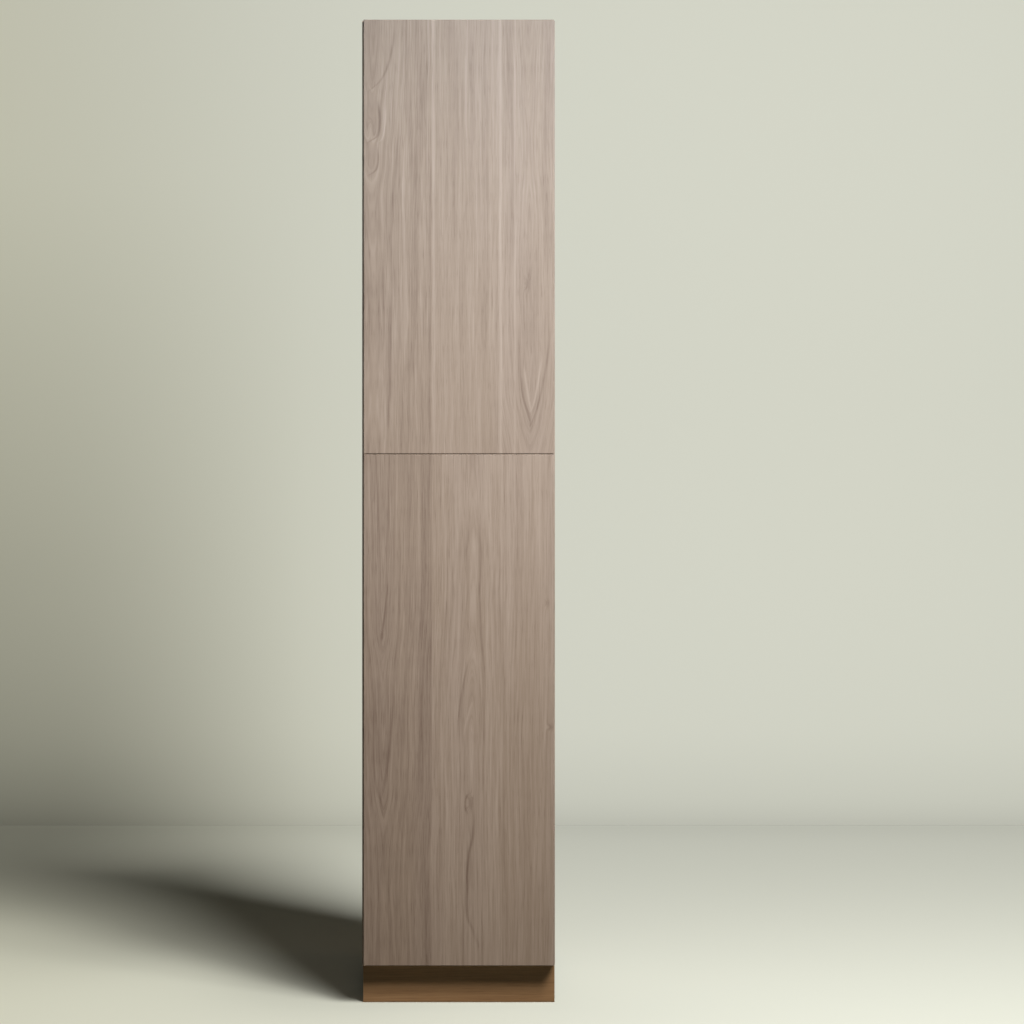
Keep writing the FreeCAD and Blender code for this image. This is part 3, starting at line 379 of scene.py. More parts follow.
    def curve(self, value: Socket, span: tuple[float, float], points: Line, top: float) -> Socket:
        """Looks a value up on a smooth curve.

        Args:
            value: The value to look up.
            span: Its lowest and highest place.
            points: Places and heights on the curve.
            top: A height that none of the points passes.

        Returns:
            The curve's height.
        """
        low, high = span
        made = self.node("ShaderNodeFloatCurve")
        share = self.math("DIVIDE", self.math("SUBTRACT", value, low), high - low, clamp=True)
        self.feed(made.inputs["Value"], share)
        line = made.mapping.curves[0]
        ordered = sorted(((place - low) / (high - low), height / top) for place, height in points)
        while len(line.points) < len(ordered):
            line.points.new(0.5, 0.5)
        for point, location in zip(line.points, ordered):
            point.location = location
        made.mapping.update()
        return self.times(made.outputs["Value"], top)


class Graph(Tree):
    """A material's node tree."""

    def __init__(self, name: str) -> None:
        """Starts an empty material.

        Args:
            name: The material's name.
        """
        self.material = bpy.data.materials.new(name)
        self.material.use_nodes = True
        super().__init__(self.material.node_tree)
        self.place = self.node("ShaderNodeTexCoord").outputs["Object"]

    def weighed(self, weights: Place) -> Socket:
        """Sum of the place's coordinates, each times its weight.

        Args:
            weights: The weight of each coordinate.

        Returns:
            The sum.
        """
        made = self.node("ShaderNodeVectorMath", operation="DOT_PRODUCT")
        self.feed(made.inputs[0], self.place)
        made.inputs[1].default_value = weights
        return made.outputs["Value"]

    def cells(self, scale: float) -> Socket:
        """Colours of random cells, so many for each metre.

        Args:
            scale: Cells for each metre.

        Returns:
            Each cell's own colour.
        """
        made = self.node("ShaderNodeTexVoronoi", feature="F1")
        self.feed(made.inputs["Vector"], self.place)
        made.inputs["Scale"].default_value = scale
        return made.outputs["Color"]

    def finish(self, surface: Surface, settings: dict[str, object]) -> bpy.types.Material:
        """Feeds a surface to one shader.

        Args:
            surface: Colour, roughness and height.
            settings: Plain values of the shader's own inputs.

        Returns:
            The finished material.
        """
        shader = self.node("ShaderNodeBsdfPrincipled")
        self.feed(shader.inputs["Base Color"], surface.colour)
        self.feed(shader.inputs["Roughness"], surface.roughness)
        for name, value in settings.items():
            shader.inputs[name].default_value = value
        bump = self.node("ShaderNodeBump")
        bump.inputs["Distance"].default_value = 1.0
        self.feed(bump.inputs["Height"], surface.height)
        self.feed(shader.inputs["Normal"], bump.outputs["Normal"])
        output = self.node("ShaderNodeOutputMaterial")
        self.feed(output.inputs["Surface"], shader.outputs["BSDF"])
        return self.material


# Finishes

@dataclass(frozen=True)
class Finish:
    """A surface finish. Subclasses say what it looks like at each place."""

    name: str

    @property
    def settings(self) -> dict[str, object]:
        """Plain values of the shader's own inputs."""
        return {}

    def surface(self, graph: Graph) -> Surface:
        """Adds the finish to a graph.

        Args:
            graph: The graph to add to.

        Returns:
            Colour, roughness and height at each place.
        """
        raise NotImplementedError

    def material(self) -> bpy.types.Material:
        """The finish's material, made the first time it is asked for.

        Returns:
            The material.
        """
        found = bpy.data.materials.get(self.name)
        if found:
            return found
        graph = Graph(self.name)
        return graph.finish(self.surface(graph), self.settings)


@dataclass(frozen=True)
class Leaf:
    """One leaf of veneer: growth rings cut along a pith line at a varying depth.

    The rings meet the face at a distance that grows both away from the heart line and with
    the depth, so they run in pointed arches where the depth changes and straight beside them.
    """

    start: float
    heart: float
    depths: Line
    seed: float
    lightness: float = 0.0
    point: float = 1.35
    bold: float = 1.0


@dataclass(frozen=True)
class Knot:
    """A small disturbance of the rings."""

    across: float
    along: float
    width: float
    length: float
    lift: float
    darkness: float = 0.0

    def near(self, graph: Graph, place: tuple[Socket, Socket]) -> Socket:
        """How near a place is to the knot, from 1 at its middle to 0."""
        return graph.patch(*place, (self.across, self.along), (self.width, self.length))


@dataclass(frozen=True)
class Stripe:
    """A pale or dark streak that runs the whole length of a board."""

    across: float
    width: float
    gain: float


@dataclass(frozen=True)
class Vein:
    """One dark or pale line of the figure that wanders across the grain."""

    line: Line
    width: float
    darkness: float

    def near(self, graph: Graph, place: tuple[Socket, Socket]) -> Socket:
        """How near a place is to the vein, from 1 on its line to 0, weaker at both ends.

        Args:
            graph: The graph to add to.
            place: Place across the grain and along it.

        Returns:
            How near, from 1 down to 0.
        """
        across, along = place
        low, high = self.line[0][0], self.line[-1][0]
        left = min(aside for _, aside in self.line)
        reach = max(aside for _, aside in self.line) - left
        centre = graph.curve(along, (low, high), tuple((at, aside - left) for at, aside in self.line), reach)
        off = graph.math("SUBTRACT", graph.math("SUBTRACT", across, left), centre)
        ends = graph.bell(along, (low + high) / 2, (high - low) / 2)
        return graph.fade(graph.plus(graph.bell(off, 0.0, self.width), graph.times(ends, ends)))


@dataclass(frozen=True)
class RingLayer:
    """One layer of ring lines: how fine it is across the rings and along the grain, and how strong."""

    rates: tuple[float, float]
    detail: float
    share: float


@dataclass(frozen=True)
class Fibre:
    """Fine lines along the grain: how fine they are, and what they do to the surface."""

    rates: tuple[float, float]
    roughness: float
    height: float
    darkness: float = 0.0


RING_LAYERS = (RingLayer((60.0, 1.2), 2.0, 0.24), RingLayer((210.0, 4.5), 1.0, 0.26),
               RingLayer((560.0, 11.0), 1.0, 0.20), RingLayer((1300.0, 24.0), 0.0, 0.10))
PORES = Fibre((1100.0, 26.0), 0.14, -0.05 * MM, 0.16)
FIBRE = Fibre((2600.0, 40.0), 0.08, 0.012 * MM)


@dataclass(frozen=True)
class Walnut(Finish):
    """Matt greige walnut decor printed from several veneer leaves."""

    grain: Grain
    span: tuple[float, float]
    leaves: tuple[Leaf, ...]
    knots: tuple[Knot, ...] = ()
    stripes: tuple[Stripe, ...] = ()
    veins: tuple[Vein, ...] = ()
    seed: float = 0.0
    lean: float = 0.0
    dark: Colour = srgb(138, 120, 107)
    brown: Colour = srgb(178, 161, 145)
    rose: Colour = srgb(185, 169, 156)
    pale: Colour = srgb(210, 195, 181)
    deepest: float = 0.09
    contrast: float = 1.0

    @property
    def settings(self) -> dict[str, object]:
        """A matt foil, with little gloss."""
        return {"Specular IOR Level": 0.22}

    def surface(self, graph: Graph) -> Surface:
        """Adds the decor to a graph.

        Args:
            graph: The graph to add to.

        Returns:
            Colour, roughness and height at each place.
        """
        place = (graph.weighed(self.grain.value[0]), graph.weighed(self.grain.value[1]))
        tone = self._tone(graph, place)
        pores = self._pores(graph, place, tone)
        shown = graph.math("SUBTRACT", tone, graph.times(pores, PORES.darkness), clamp=True)
        colour = self._colour(graph, place, shown)
        fibre = graph.drawn(place, FIBRE.rates, self.seed)
        roughness = graph.plus(graph.times(pores, PORES.roughness), graph.times(fibre, FIBRE.roughness), 0.44)
        height = graph.plus(graph.times(pores, PORES.height), graph.times(fibre, FIBRE.height))
        return Surface(colour, roughness, height)

    def _colour(self, graph: Graph, place: tuple[Socket, Socket], shown: Socket) -> Socket:
        """Colours the wood: dark, then brown or rose at half tone, then pale.

        Args:
            graph: The graph to add to.
            place: Place across the grain and along it.
            shown: The tone, from 0 to 1.

        Returns:
            The colour.
        """
        hue_noise = graph.drawn(place, (9.0, 0.9), self.seed)
        hue = graph.plus(graph.swing(hue_noise, 1.3), graph.times(place[0], self.lean), 0.5)
        hue = graph.math("MAXIMUM", graph.math("MINIMUM", hue, 1.0), 0.0)
        middle = graph.tint(hue, self.brown, self.rose)
        dark_share = graph.times(graph.math("SUBTRACT", 0.5, shown, clamp=True), 2.0)
        pale_share = graph.times(graph.math("SUBTRACT", shown, 0.5, clamp=True), 2.0)
        return graph.tint(pale_share, graph.tint(dark_share, middle, self.dark), self.pale)

    def _rings(self, graph: Graph, place: tuple[Socket, Socket]) -> tuple[Socket, Socket, Socket]:
        """Finds how far out each place lies in the trunk.

        Args:
            graph: The graph to add to.
            place: Place across the grain and along it.

        Returns:
            The distance from the pith in metres, how much lighter the leaf is, and how bold its rings are.
        """
        across, along = place
        drift = graph.drawn(place, (3.0, 1.3), self.seed, detail=1.5)
        shiver = graph.drawn(place, (30.0, 9.0), self.seed + 4.0)
        bent = graph.plus(across, graph.swing(drift, 0.014), graph.swing(shiver, 0.0018))
        rings: object = 0.0
        lightness: object = 0.0
        bold: object = 1.0
        for number, leaf in enumerate(self.leaves):
            depth = graph.curve(along, self.span, leaf.depths, self.deepest)
            off = graph.math("ABSOLUTE", graph.math("SUBTRACT", bent, leaf.heart))
            powers = graph.plus(graph.math("POWER", off, leaf.point), graph.math("POWER", depth, leaf.point))
            own = graph.plus(graph.math("POWER", powers, 1 / leaf.point), leaf.seed)
            here = graph.math("GREATER_THAN", across, leaf.start)
            rings = graph.blend(here, rings, own) if number else own
            lightness = graph.blend(here, lightness, leaf.lightness) if number else leaf.lightness
            bold = graph.blend(here, bold, leaf.bold) if number else leaf.bold
        for knot in self.knots:
            rings = graph.plus(rings, graph.times(knot.near(graph, (bent, along)), knot.lift))
        return rings, lightness, bold

    def _tone(self, graph: Graph, place: tuple[Socket, Socket]) -> Socket:
        """Finds how dark the wood is.

        Args:
            graph: The graph to add to.
            place: Place across the grain and along it.

        Returns:
            The tone, from dark at 0 to pale at 1.
        """
        rings, lightness, bold = self._rings(graph, place)
        tone: object = graph.plus(0.5, lightness)
        for number, layer in enumerate(RING_LAYERS):
            lines = graph.drawn((rings, place[1]), layer.rates, self.seed + number, layer.detail)
            tone = graph.plus(tone, graph.times(graph.swing(lines, layer.share * self.contrast), bold))
        for stripe in self.stripes:
            streak = graph.fade(graph.bell(place[0], stripe.across, stripe.width))
            tone = graph.plus(tone, graph.times(streak, stripe.gain))
        for mark in (*self.knots, *self.veins):
            if mark.darkness:
                tone = graph.plus(tone, graph.times(mark.near(graph, place), -mark.darkness))
        return tone

    def _pores(self, graph: Graph, place: tuple[Socket, Socket], tone: Socket) -> Socket:
        """Short dark vessel lines, denser where the wood is darker.

        Args:
            graph: The graph to add to.
            place: Place across the grain and along it.
            tone: The tone, from dark at 0 to pale at 1.

        Returns:
            From 0 off the lines to 1 on them.
        """
        cut = graph.drawn(place, PORES.rates, self.seed + 9.0)
        dense = graph.times(graph.math("SUBTRACT", 0.6, tone), 0.18)
        return graph.between(graph.plus(cut, dense), 0.60, 0.72)


@dataclass(frozen=True)
class Melamine(Finish):
    """Pale melamine with a fine pearl texture."""

    colour: Colour = srgb(226, 225, 218)

    def surface(self, graph: Graph) -> Surface:
        """Adds the melamine to a graph.

        Args:
            graph: The graph to add to.

        Returns:
            Colour, roughness and height at each place.
        """
        mottle = graph.noise(graph.place, scale=14.0, detail=3.0)
        pearl = graph.noise(graph.place, scale=1500.0, detail=1.0)
        shade = tuple(0.93 * channel for channel in self.colour)
        colour = graph.tint(mottle, self.colour, shade)
        roughness = graph.plus(graph.times(mottle, 0.08), graph.times(pearl, 0.1), 0.32)
        return Surface(colour, roughness, graph.times(pearl, 0.018 * MM))


@dataclass(frozen=True)
class Chipboard(Finish):
    """Sawn chipboard: flakes of several wood tones."""

    light: Colour = srgb(205, 174, 128)
    dark: Colour = srgb(140, 104, 66)

    def surface(self, graph: Graph) -> Surface:
        """Adds the chipboard to a graph.

        Args:
            graph: The graph to add to.

        Returns:
            Colour, roughness and height at each place.
        """
        flakes = graph.cells(620.0)
        split = graph.node("ShaderNodeSeparateColor")
        graph.feed(split.inputs[0], flakes)
        dust = graph.noise(graph.place, scale=900.0, detail=2.0)
        tone = graph.plus(graph.times(split.outputs[0], 0.7), graph.times(dust, 0.3))
        colour = graph.tint(tone, self.dark, self.light)
        height = graph.times(tone, 0.12 * MM)
        return Surface(colour, graph.plus(graph.times(dust, 0.15), 0.78), height)


@dataclass(frozen=True)
class Hardboard(Finish):
    """Rear face of the back: brown fibre board with the mesh of its press."""

    light: Colour = srgb(150, 112, 74)
    dark: Colour = srgb(104, 74, 46)
    mesh_pitch: float = 1.6 * MM

    def surface(self, graph: Graph) -> Surface:
        """Adds the board to a graph.

        Args:
            graph: The graph to add to.

        Returns:
            Colour, roughness and height at each place.
        """
        fibre = graph.noise(graph.place, scale=260.0, detail=4.0, roughness=0.7)
        cloud = graph.noise(graph.place, scale=9.0, detail=2.0)
        mesh_rate = 2 * math.pi / self.mesh_pitch
        warp = graph.math("SINE", graph.times(graph.weighed(ACROSS), mesh_rate))
        weft = graph.math("SINE", graph.times(graph.weighed(UPRIGHT), mesh_rate))
        mesh = graph.math("MAXIMUM", warp, weft)
        tone = graph.plus(graph.times(fibre, 0.7), graph.times(cloud, 0.3), graph.times(mesh, -0.06))
        height = graph.plus(graph.times(mesh, 0.05 * MM), graph.times(fibre, 0.04 * MM))
        roughness = graph.plus(graph.times(fibre, 0.2), 0.6)
        return Surface(graph.tint(tone, self.dark, self.light), roughness, height)


@dataclass(frozen=True)
class Beech(Finish):
    """Turned beech of the dowels."""

    light: Colour = srgb(222, 190, 150)
    dark: Colour = srgb(186, 146, 104)

    def surface(self, graph: Graph) -> Surface:
        """Adds the beech to a graph.

        Args:
            graph: The graph to add to.

        Returns:
            Colour, roughness and height at each place.
        """
        rates = ((ACROSS, 60.0), (DEEP, 900.0), (UPRIGHT, 900.0))
        stretched = [graph.times(graph.weighed(axis), rate) for axis, rate in rates]
        fibre = graph.noise(graph.vector(*stretched), detail=2.0)
        return Surface(graph.tint(fibre, self.dark, self.light), graph.plus(graph.times(fibre, 0.2), 0.5),
                       graph.times(fibre, 0.03 * MM))


@dataclass(frozen=True)
class Metal(Finish):
    """Metal with fine brush or roll marks."""

    colour: Colour
    worn: Colour
    polish: float
    grit: float = 1800.0
    marks: float = 0.015

    @property
    def settings(self) -> dict[str, object]:
        """Fully metallic."""
        return {"Metallic": 1.0}

    def surface(self, graph: Graph) -> Surface:
        """Adds the metal to a graph.

        Args:
            graph: The graph to add to.

        Returns:
            Colour, roughness and height at each place.
        """
        cloud = graph.noise(graph.place, scale=55.0, detail=3.0)
        grit = graph.noise(graph.place, scale=self.grit, detail=1.0)
        colour = graph.tint(graph.between(cloud, 0.35, 0.75), self.colour, self.worn)
        roughness = graph.plus(graph.times(cloud, 0.16), graph.times(grit, 0.1), self.polish)
        return Surface(colour, roughness, graph.times(grit, self.marks * MM))


@dataclass(frozen=True)
class Moulded(Finish):
    """Moulded plastic with a fine spark-eroded texture."""

    colour: Colour
    grit: float = 0.03
    base_roughness: float = 0.42

    def surface(self, graph: Graph) -> Surface:
        """Adds the plastic to a graph.

        Args:
            graph: The graph to add to.

        Returns:
            Colour, roughness and height at each place.
        """
        cloud = graph.noise(graph.place, scale=30.0, detail=2.0)
        grit = graph.noise(graph.place, scale=1300.0, detail=1.0)
        shade = tuple(0.78 * channel for channel in self.colour)
        roughness = graph.plus(graph.times(cloud, 0.1), graph.times(grit, 0.12), self.base_roughness)
        return Surface(graph.tint(cloud, self.colour, shade), roughness, graph.times(grit, self.grit * MM))


@dataclass(frozen=True)
class FacedBoard(Finish):
    """A board with its own finish on each face and a core that shows on its cut edges."""

    axis: Place
    faces: tuple[tuple[float, Finish], ...]
    core: Finish
    skin: float = 0.15 * MM

    @property
    def settings(self) -> dict[str, object]:
        """Gloss of the first face."""
        return self.faces[0][1].settings

    def surface(self, graph: Graph) -> Surface:
        """Adds the core and both faces to a graph.

        Args:
            graph: The graph to add to.

        Returns:
            Colour, roughness and height at each place.
        """
        depth = graph.weighed(self.axis)
        shown = self.core.surface(graph)
        for level, finish in self.faces:
            here = graph.math("COMPARE", depth, level, self.skin)
            face = finish.surface(graph)
            shown = Surface(graph.tint(here, shown.colour, face.colour),
                            graph.blend(here, shown.roughness, face.roughness),
                            graph.blend(here, shown.height, face.height))
        return shown


WHITE_MELAMINE = Melamine("white_melamine")
CHIPBOARD = Chipboard("chipboard")
HARDBOARD = Hardboard("hardboard_mesh")
BEECH = Beech("beech")
NICKEL = Metal("nickel_plate", srgb(205, 202, 196), srgb(186, 183, 176), 0.18)
ZINC = Metal("zinc_casting", srgb(178, 180, 182), srgb(150, 151, 153), 0.32, marks=0.03)
STEEL = Metal("screw_steel", srgb(190, 190, 192), srgb(160, 160, 163), 0.22)
SPRING_STEEL = Metal("spring_steel", srgb(170, 172, 176), srgb(135, 137, 142), 0.16)
LEG_PLASTIC = Moulded("leg_plastic", srgb(44, 44, 45))
LATCH_PLASTIC = Moulded("latch_plastic", srgb(150, 151, 150))
WHITE_PLASTIC = Moulded("white_plastic", srgb(228, 227, 221), grit=0.015)


# Shapes

def matrix_to(place: Vector, way: Way) -> Matrix:
    """Moves a shape from the origin to a place and turns its +Z to a way."""
    turn = Vector(Way.UP.value).rotation_difference(Vector(way.value)).to_matrix().to_4x4()
    return Matrix.Translation(place) @ turn


def verts_of(geometry: Iterable[object]) -> list[Vert]:
    """The vertices among what an operator gives back."""
    return [item for item in geometry if isinstance(item, Vert)]


class Shape:
    """Geometry under construction, in a bmesh, from bmesh operators."""

    def __init__(self) -> None:
        """Starts empty."""
        self.bm = bmesh.new()

    def fresh(self, build: Callable[[], None], matrix: Matrix) -> list[Vert]:
        """Runs a build step at the origin and moves what it made.

        Args:
            build: The step.
            matrix: Where its result goes.

        Returns:
            The new vertices.
        """
        known = set(self.bm.verts)
        build()
        verts = [vert for vert in self.bm.verts if vert not in known]
        bmesh.ops.remove_doubles(self.bm, verts=verts, dist=WELD)
        verts = [vert for vert in self.bm.verts if vert not in known]
        faces = {face for vert in verts for face in vert.link_faces}
        bmesh.ops.recalc_face_normals(self.bm, faces=list(faces))
        bmesh.ops.transform(self.bm, matrix=matrix, verts=verts)
        return verts

    def block(self, low: Vector, high: Vector, rounding: float = 0.0, segments: int = 3) -> None:
        """Adds a box between two corners.

        Args:
            low: Its lowest corner.
            high: Its highest corner.
            rounding: Radius of its edges.
            segments: Steps of each rounded edge.
        """
        def build() -> None:
            """A cube, scaled and rounded."""
            verts = bmesh.ops.create_cube(self.bm, size=1.0)["verts"]
            bmesh.ops.scale(self.bm, vec=high - low, verts=verts)
            if rounding:
                edges = list({edge for vert in verts for edge in vert.link_edges})
                bmesh.ops.bevel(self.bm, geom=edges, offset=rounding, affect="EDGES", segments=segments,
                                profile=0.5, material=-1)

        self.fresh(build, Matrix.Translation((low + high) / 2))

    def turned(self, profile: Sequence[tuple[float, float]], matrix: Matrix, steps: int = 32,
               closed: bool = False) -> list[Vert]:
        """Adds a turned shape.

        Args:
            profile: Radius and height of each point, from one end to the other.
            matrix: Where it goes. Its axis is +Z before that.
            steps: Steps round the axis.
            closed: Whether the profile's last point joins its first.

        Returns:
            The new vertices.
        """
        def build() -> None:
            """The profile, spun round."""
            points = [self.bm.verts.new((radius, 0.0, height)) for radius, height in profile]
            pairs = list(zip(points, points[1:])) + ([(points[-1], points[0])] if closed else [])
            edges = [self.bm.edges.new(pair) for pair in pairs]
            bmesh.ops.spin(self.bm, geom=points + edges, cent=(0, 0, 0), axis=(0, 0, 1), dvec=(0, 0, 0),
                           angle=2 * math.pi, steps=steps, use_merge=True, use_duplicate=False)

        return self.fresh(build, matrix)

    def thread(self, root: float, crest: float, pitch: float, length: float, matrix: Matrix,
               steps: int = 12) -> None:
        """Adds a screw thread's ridge, its foot sunk in the core.

        Args:
            root: Radius of the ridge's foot.
            crest: Radius of its top.
            pitch: Rise for each turn.
            length: How far it climbs along +Z.
            matrix: Where it goes.
            steps: Steps of each turn.
        """
        def build() -> None:
            """A triangle, spun up a helix."""
            turns = length / pitch - 1
            half = 0.36 * pitch
            middle = 0.5 * pitch
            corners = ((root, 0.0, middle - half), (crest, 0.0, middle), (root, 0.0, middle + half))
            points = [self.bm.verts.new(corner) for corner in corners]
            face = bmesh.ops.contextual_create(self.bm, geom=points)["faces"]
            edges = list({edge for point in points for edge in point.link_edges})
            count = round(turns * steps)
            bmesh.ops.spin(self.bm, geom=points + edges + face, cent=(0, 0, 0), axis=(0, 0, 1),
                           dvec=(0, 0, turns * pitch / count), angle=2 * math.pi * turns, steps=count,
                           use_merge=False, use_duplicate=False)

        self.fresh(build, matrix)

    def cross_recess(self, verts: Iterable[Vert], matrix: Matrix, reach: float, width: float,
                     depth: float) -> None:
        """Sinks a cross into the flat top of a shape.

        Args:
            verts: The shape's vertices.
            matrix: Where the shape is. The top faces its +Z, at its origin.
            reach: Half the length of the cross.
            width: Width of its arms.
            depth: How deep it goes.
        """
        home = matrix.inverted()
        turn = matrix.to_3x3()

        def middle(face: bmesh.types.BMFace) -> Vector:
            """A face's middle, seen from the top's own place."""
            return home @ face.calc_center_median()

        def on_top(faces: Iterable[bmesh.types.BMFace]) -> list[bmesh.types.BMFace]:
            """The faces that lie in the top's plane and look up."""
            return [face for face in faces
                    if abs(middle(face).z) < FLAT and (turn.inverted() @ face.normal).z > 0.9]

        tops = on_top({face for vert in verts for face in vert.link_faces})
        for axis in (Vector(ACROSS), Vector(DEEP)):
            for offset in (-reach, -width / 2, width / 2, reach):
                geom = list({item for face in tops for item in (face, *face.edges, *face.verts)})
                bmesh.ops.bisect_plane(self.bm, geom=geom, dist=WELD, plane_co=matrix @ (axis * offset),
                                       plane_no=turn @ axis, use_snap_center=False, clear_outer=False,
                                       clear_inner=False)
                tops = [face for face in on_top(self.bm.faces) if middle(face).length < 4 * reach]
        arms = []
        for face in tops:
            near, far = sorted((abs(middle(face).x), abs(middle(face).y)))
            if near < width / 2 and far < reach:
                arms.append(face)
        sunk = bmesh.ops.extrude_face_region(self.bm, geom=arms)["geom"]
        bmesh.ops.translate(self.bm, vec=turn @ Vector((0, 0, -depth)), verts=verts_of(sunk))
        stale = [face for face in arms if face.is_valid]
        if stale:
            bmesh.ops.delete(self.bm, geom=stale, context="FACES_ONLY")

    def stamp(self, pattern: bpy.types.Mesh, matrix: Matrix) -> None:
        """Adds a copy of a finished mesh, moved.

        Args:
            pattern: The mesh.
            matrix: Where the copy goes.
        """
        known = set(self.bm.verts)
        self.bm.from_mesh(pattern)
        added = [vert for vert in self.bm.verts if vert not in known]
        bmesh.ops.transform(self.bm, matrix=matrix, verts=added)

    def mesh(self, name: str) -> bpy.types.Mesh:
        """Writes the shape to a mesh, smooth but for its creases.

        Args:
            name: The mesh's name.

        Returns:
            The mesh.
        """
        for face in self.bm.faces:
            face.smooth = True
        for edge in self.bm.edges:
            edge.smooth = edge.is_manifold and edge.calc_face_angle() < CREASE
        made = bpy.data.meshes.new(name)
        self.bm.to_mesh(made)
        self.bm.free()
        return made


def step_of(place: Vector, steps: int) -> int:
    """Which of so many equal steps round +Z a place lies on."""
    return round(math.atan2(place.y, place.x) / (2 * math.pi) * steps)


def merged(node: str) -> Shape:
    """A copy of a CAD node with its triangles joined to whole faces.

    Args:
        node: The node.

    Returns:
        The copy, still open to change.
    """
    shape = Shape()
    shape.bm.from_mesh(frame["nodes"][node].data)
    bmesh.ops.remove_doubles(shape.bm, verts=shape.bm.verts, dist=WELD)
    bmesh.ops.dissolve_limit(shape.bm, angle_limit=FLUSH, verts=shape.bm.verts, edges=shape.bm.edges,
                             use_dissolve_boundaries=False)
    return shape


@dataclass(frozen=True)
class Box:
    """A box between two corners."""

    low: Vector
    high: Vector

    @property
    def middle(self) -> Vector:
        """Its middle."""
        return (self.low + self.high) / 2

    @property
    def size(self) -> Vector:
        """Its size along each axis."""
        return self.high - self.low

    def end(self, way: Way) -> Vector:
        """The middle of its face towards a way."""
        step = Vector(way.value)
        return self.middle + Vector(part * size / 2 for part, size in zip(step, self.size))

    def reach(self, way: Way) -> float:
        """Its length along a way."""
        return abs(Vector(way.value).dot(self.size))

    def girth(self, way: Way) -> float:
        """Its largest size across a way."""
        return max(size for part, size in zip(way.value, self.size) if not part)


def solids(node: str) -> list[Box]:
    """Finds the separate solids of a CAD node.

    Args:
        node: The node.

    Returns:
        The box of each, from the lowest up.
    """
    shape = merged(node)
    left = set(shape.bm.verts)
    boxes = []
    while left:
        border = [left.pop()]
        group = list(border)
        while border:
            vert = border.pop()
            for edge in vert.link_edges:
                other = edge.other_vert(vert)
                if other in left:
                    left.remove(other)
                    border.append(other)
                    group.append(other)
        corners = [Vector(pick(vert.co[axis] for vert in group) for axis in range(3)) for pick in (min, max)]
        boxes.append(Box(*corners))
    shape.bm.free()
    return sorted(boxes, key=lambda box: (round(box.middle.z, 4), round(box.middle.y, 4), box.middle.x))


# Sub-assemblies

@dataclass
class SubAssembly:
    """Pieces that belong together, with the shared ways to dress and place them."""

    count: int = field(default=0, init=False)

    def build(self) -> None:
        """Builds and dresses every piece."""
        raise NotImplementedError

    def report(self, piece: str, finish: Finish) -> None:
        """Logs one finished piece."""
        self.count += 1
        LOG.info("%s: %s in %s", type(self).__name__, piece, finish.name)

    def dress(self, node: str, finish: Finish) -> None:
        """Gives a CAD node its finish.

        Args:
            node: The node.
            finish: Its finish.
        """
        holder = frame["nodes"][node]
        if not holder.material_slots:
            holder.data.materials.append(None)
        for slot in holder.material_slots:
            slot.material = finish.material()
        self.report(node, finish)

    def board(self, node: str, way: Way, shown: Finish, rear: Finish, core: Finish, name: str = "") -> None:
        """Finishes the two faces of a CAD board and its core.

        Args:
            node: The board's node.
            way: Where its shown face looks.
            shown: The shown face's finish.
            rear: The other face's finish.
            core: What shows on its cut edges.
            name: The finish's name, where it isn't the node's.
        """
        low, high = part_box(node)
        axis = tuple(abs(part) for part in way.value)
        levels = [Vector(axis).dot(corner) for corner in (high, low)]
        if min(way.value) < 0:
            levels.reverse()
        faces = tuple(zip(levels, (shown, rear)))
        self.dress(node, FacedBoard(name or f"{node}_board", axis, faces, core))

    def place(self, shape: Shape, name: str, body: Body, slot: Slot, finish: Finish, node: str,
              bevel: float = 0.0) -> None:
        """Puts a new piece in the scene in the place of a CAD node.

        Args:
            shape: Its geometry, already in place.
            name: The piece's name.
            body: The body it rides on.
            slot: The record's slot of its material; not used.
            finish: Its finish.
            node: The CAD node it stands for.
            bevel: Width of a bevel on its sharp edges.
        """
        piece = bpy.data.objects.new(name, shape.mesh(name))
        bpy.context.scene.collection.objects.link(piece)
        piece.data.materials.append(finish.material())
        if bevel:
            soft = piece.modifiers.new("soft_edges", "BEVEL")
            soft.width = bevel
            soft.segments = 2
            soft.limit_method = "ANGLE"
            soft.angle_limit = BEVEL_LIMIT
            soft.use_clamp_overlap = True
        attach(piece, body.value)
        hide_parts(node)
        self.report(name, finish)

    def soften(self, node: str, name: str, body: Body, slot: Slot, finish: Finish, bevel: float) -> None:
        """Stands a softened copy in for a CAD node, its sharp edges bevelled."""
        self.place(merged(node), name, body, slot, finish, node, bevel)


@dataclass
class Door(SubAssembly):
    """One door: panel and edge bands in one run of decor."""

    side: str = "upper"
    decor: Finish | None = None

    def build(self) -> None:
        """Dresses the panel and the bands."""
        door = f"{self.side}_door"
        self.board(f"{door}_panel", Way.FRONT, self.decor, self.decor, CHIPBOARD, f"{door}_board")
        self.dress(f"{door}_edge_bands", self.decor)


@dataclass
class Carcass(SubAssembly):
    """Panels, shelves and their edge bands."""

    left_decor: Finish | None = None
    right_decor: Finish | None = None
    top_decor: Finish | None = None
    edge: Finish | None = None

    def build(self) -> None:
        """Dresses the panels from the outside in."""
        self.board("left_side_panel", Way.LEFT, self.left_decor, WHITE_MELAMINE, CHIPBOARD)
        self.board("right_side_panel", Way.RIGHT, self.right_decor, WHITE_MELAMINE, CHIPBOARD)
        self.board("top_panel", Way.UP, self.top_decor, WHITE_MELAMINE, CHIPBOARD)
        for node in ("bottom_panel", "fixed_shelf", "adjustable_shelf"):
            self.board(node, Way.UP, WHITE_MELAMINE, WHITE_MELAMINE, CHIPBOARD)
        self.dress("carcass_edge_bands", self.edge)
        self.soften("shelf_pins", "shelf_pin_set", Body.CARCASS, Slot.STEEL, STEEL, 0.2 * MM)
        self.dress("shelf_edge_band", WHITE_PLASTIC)


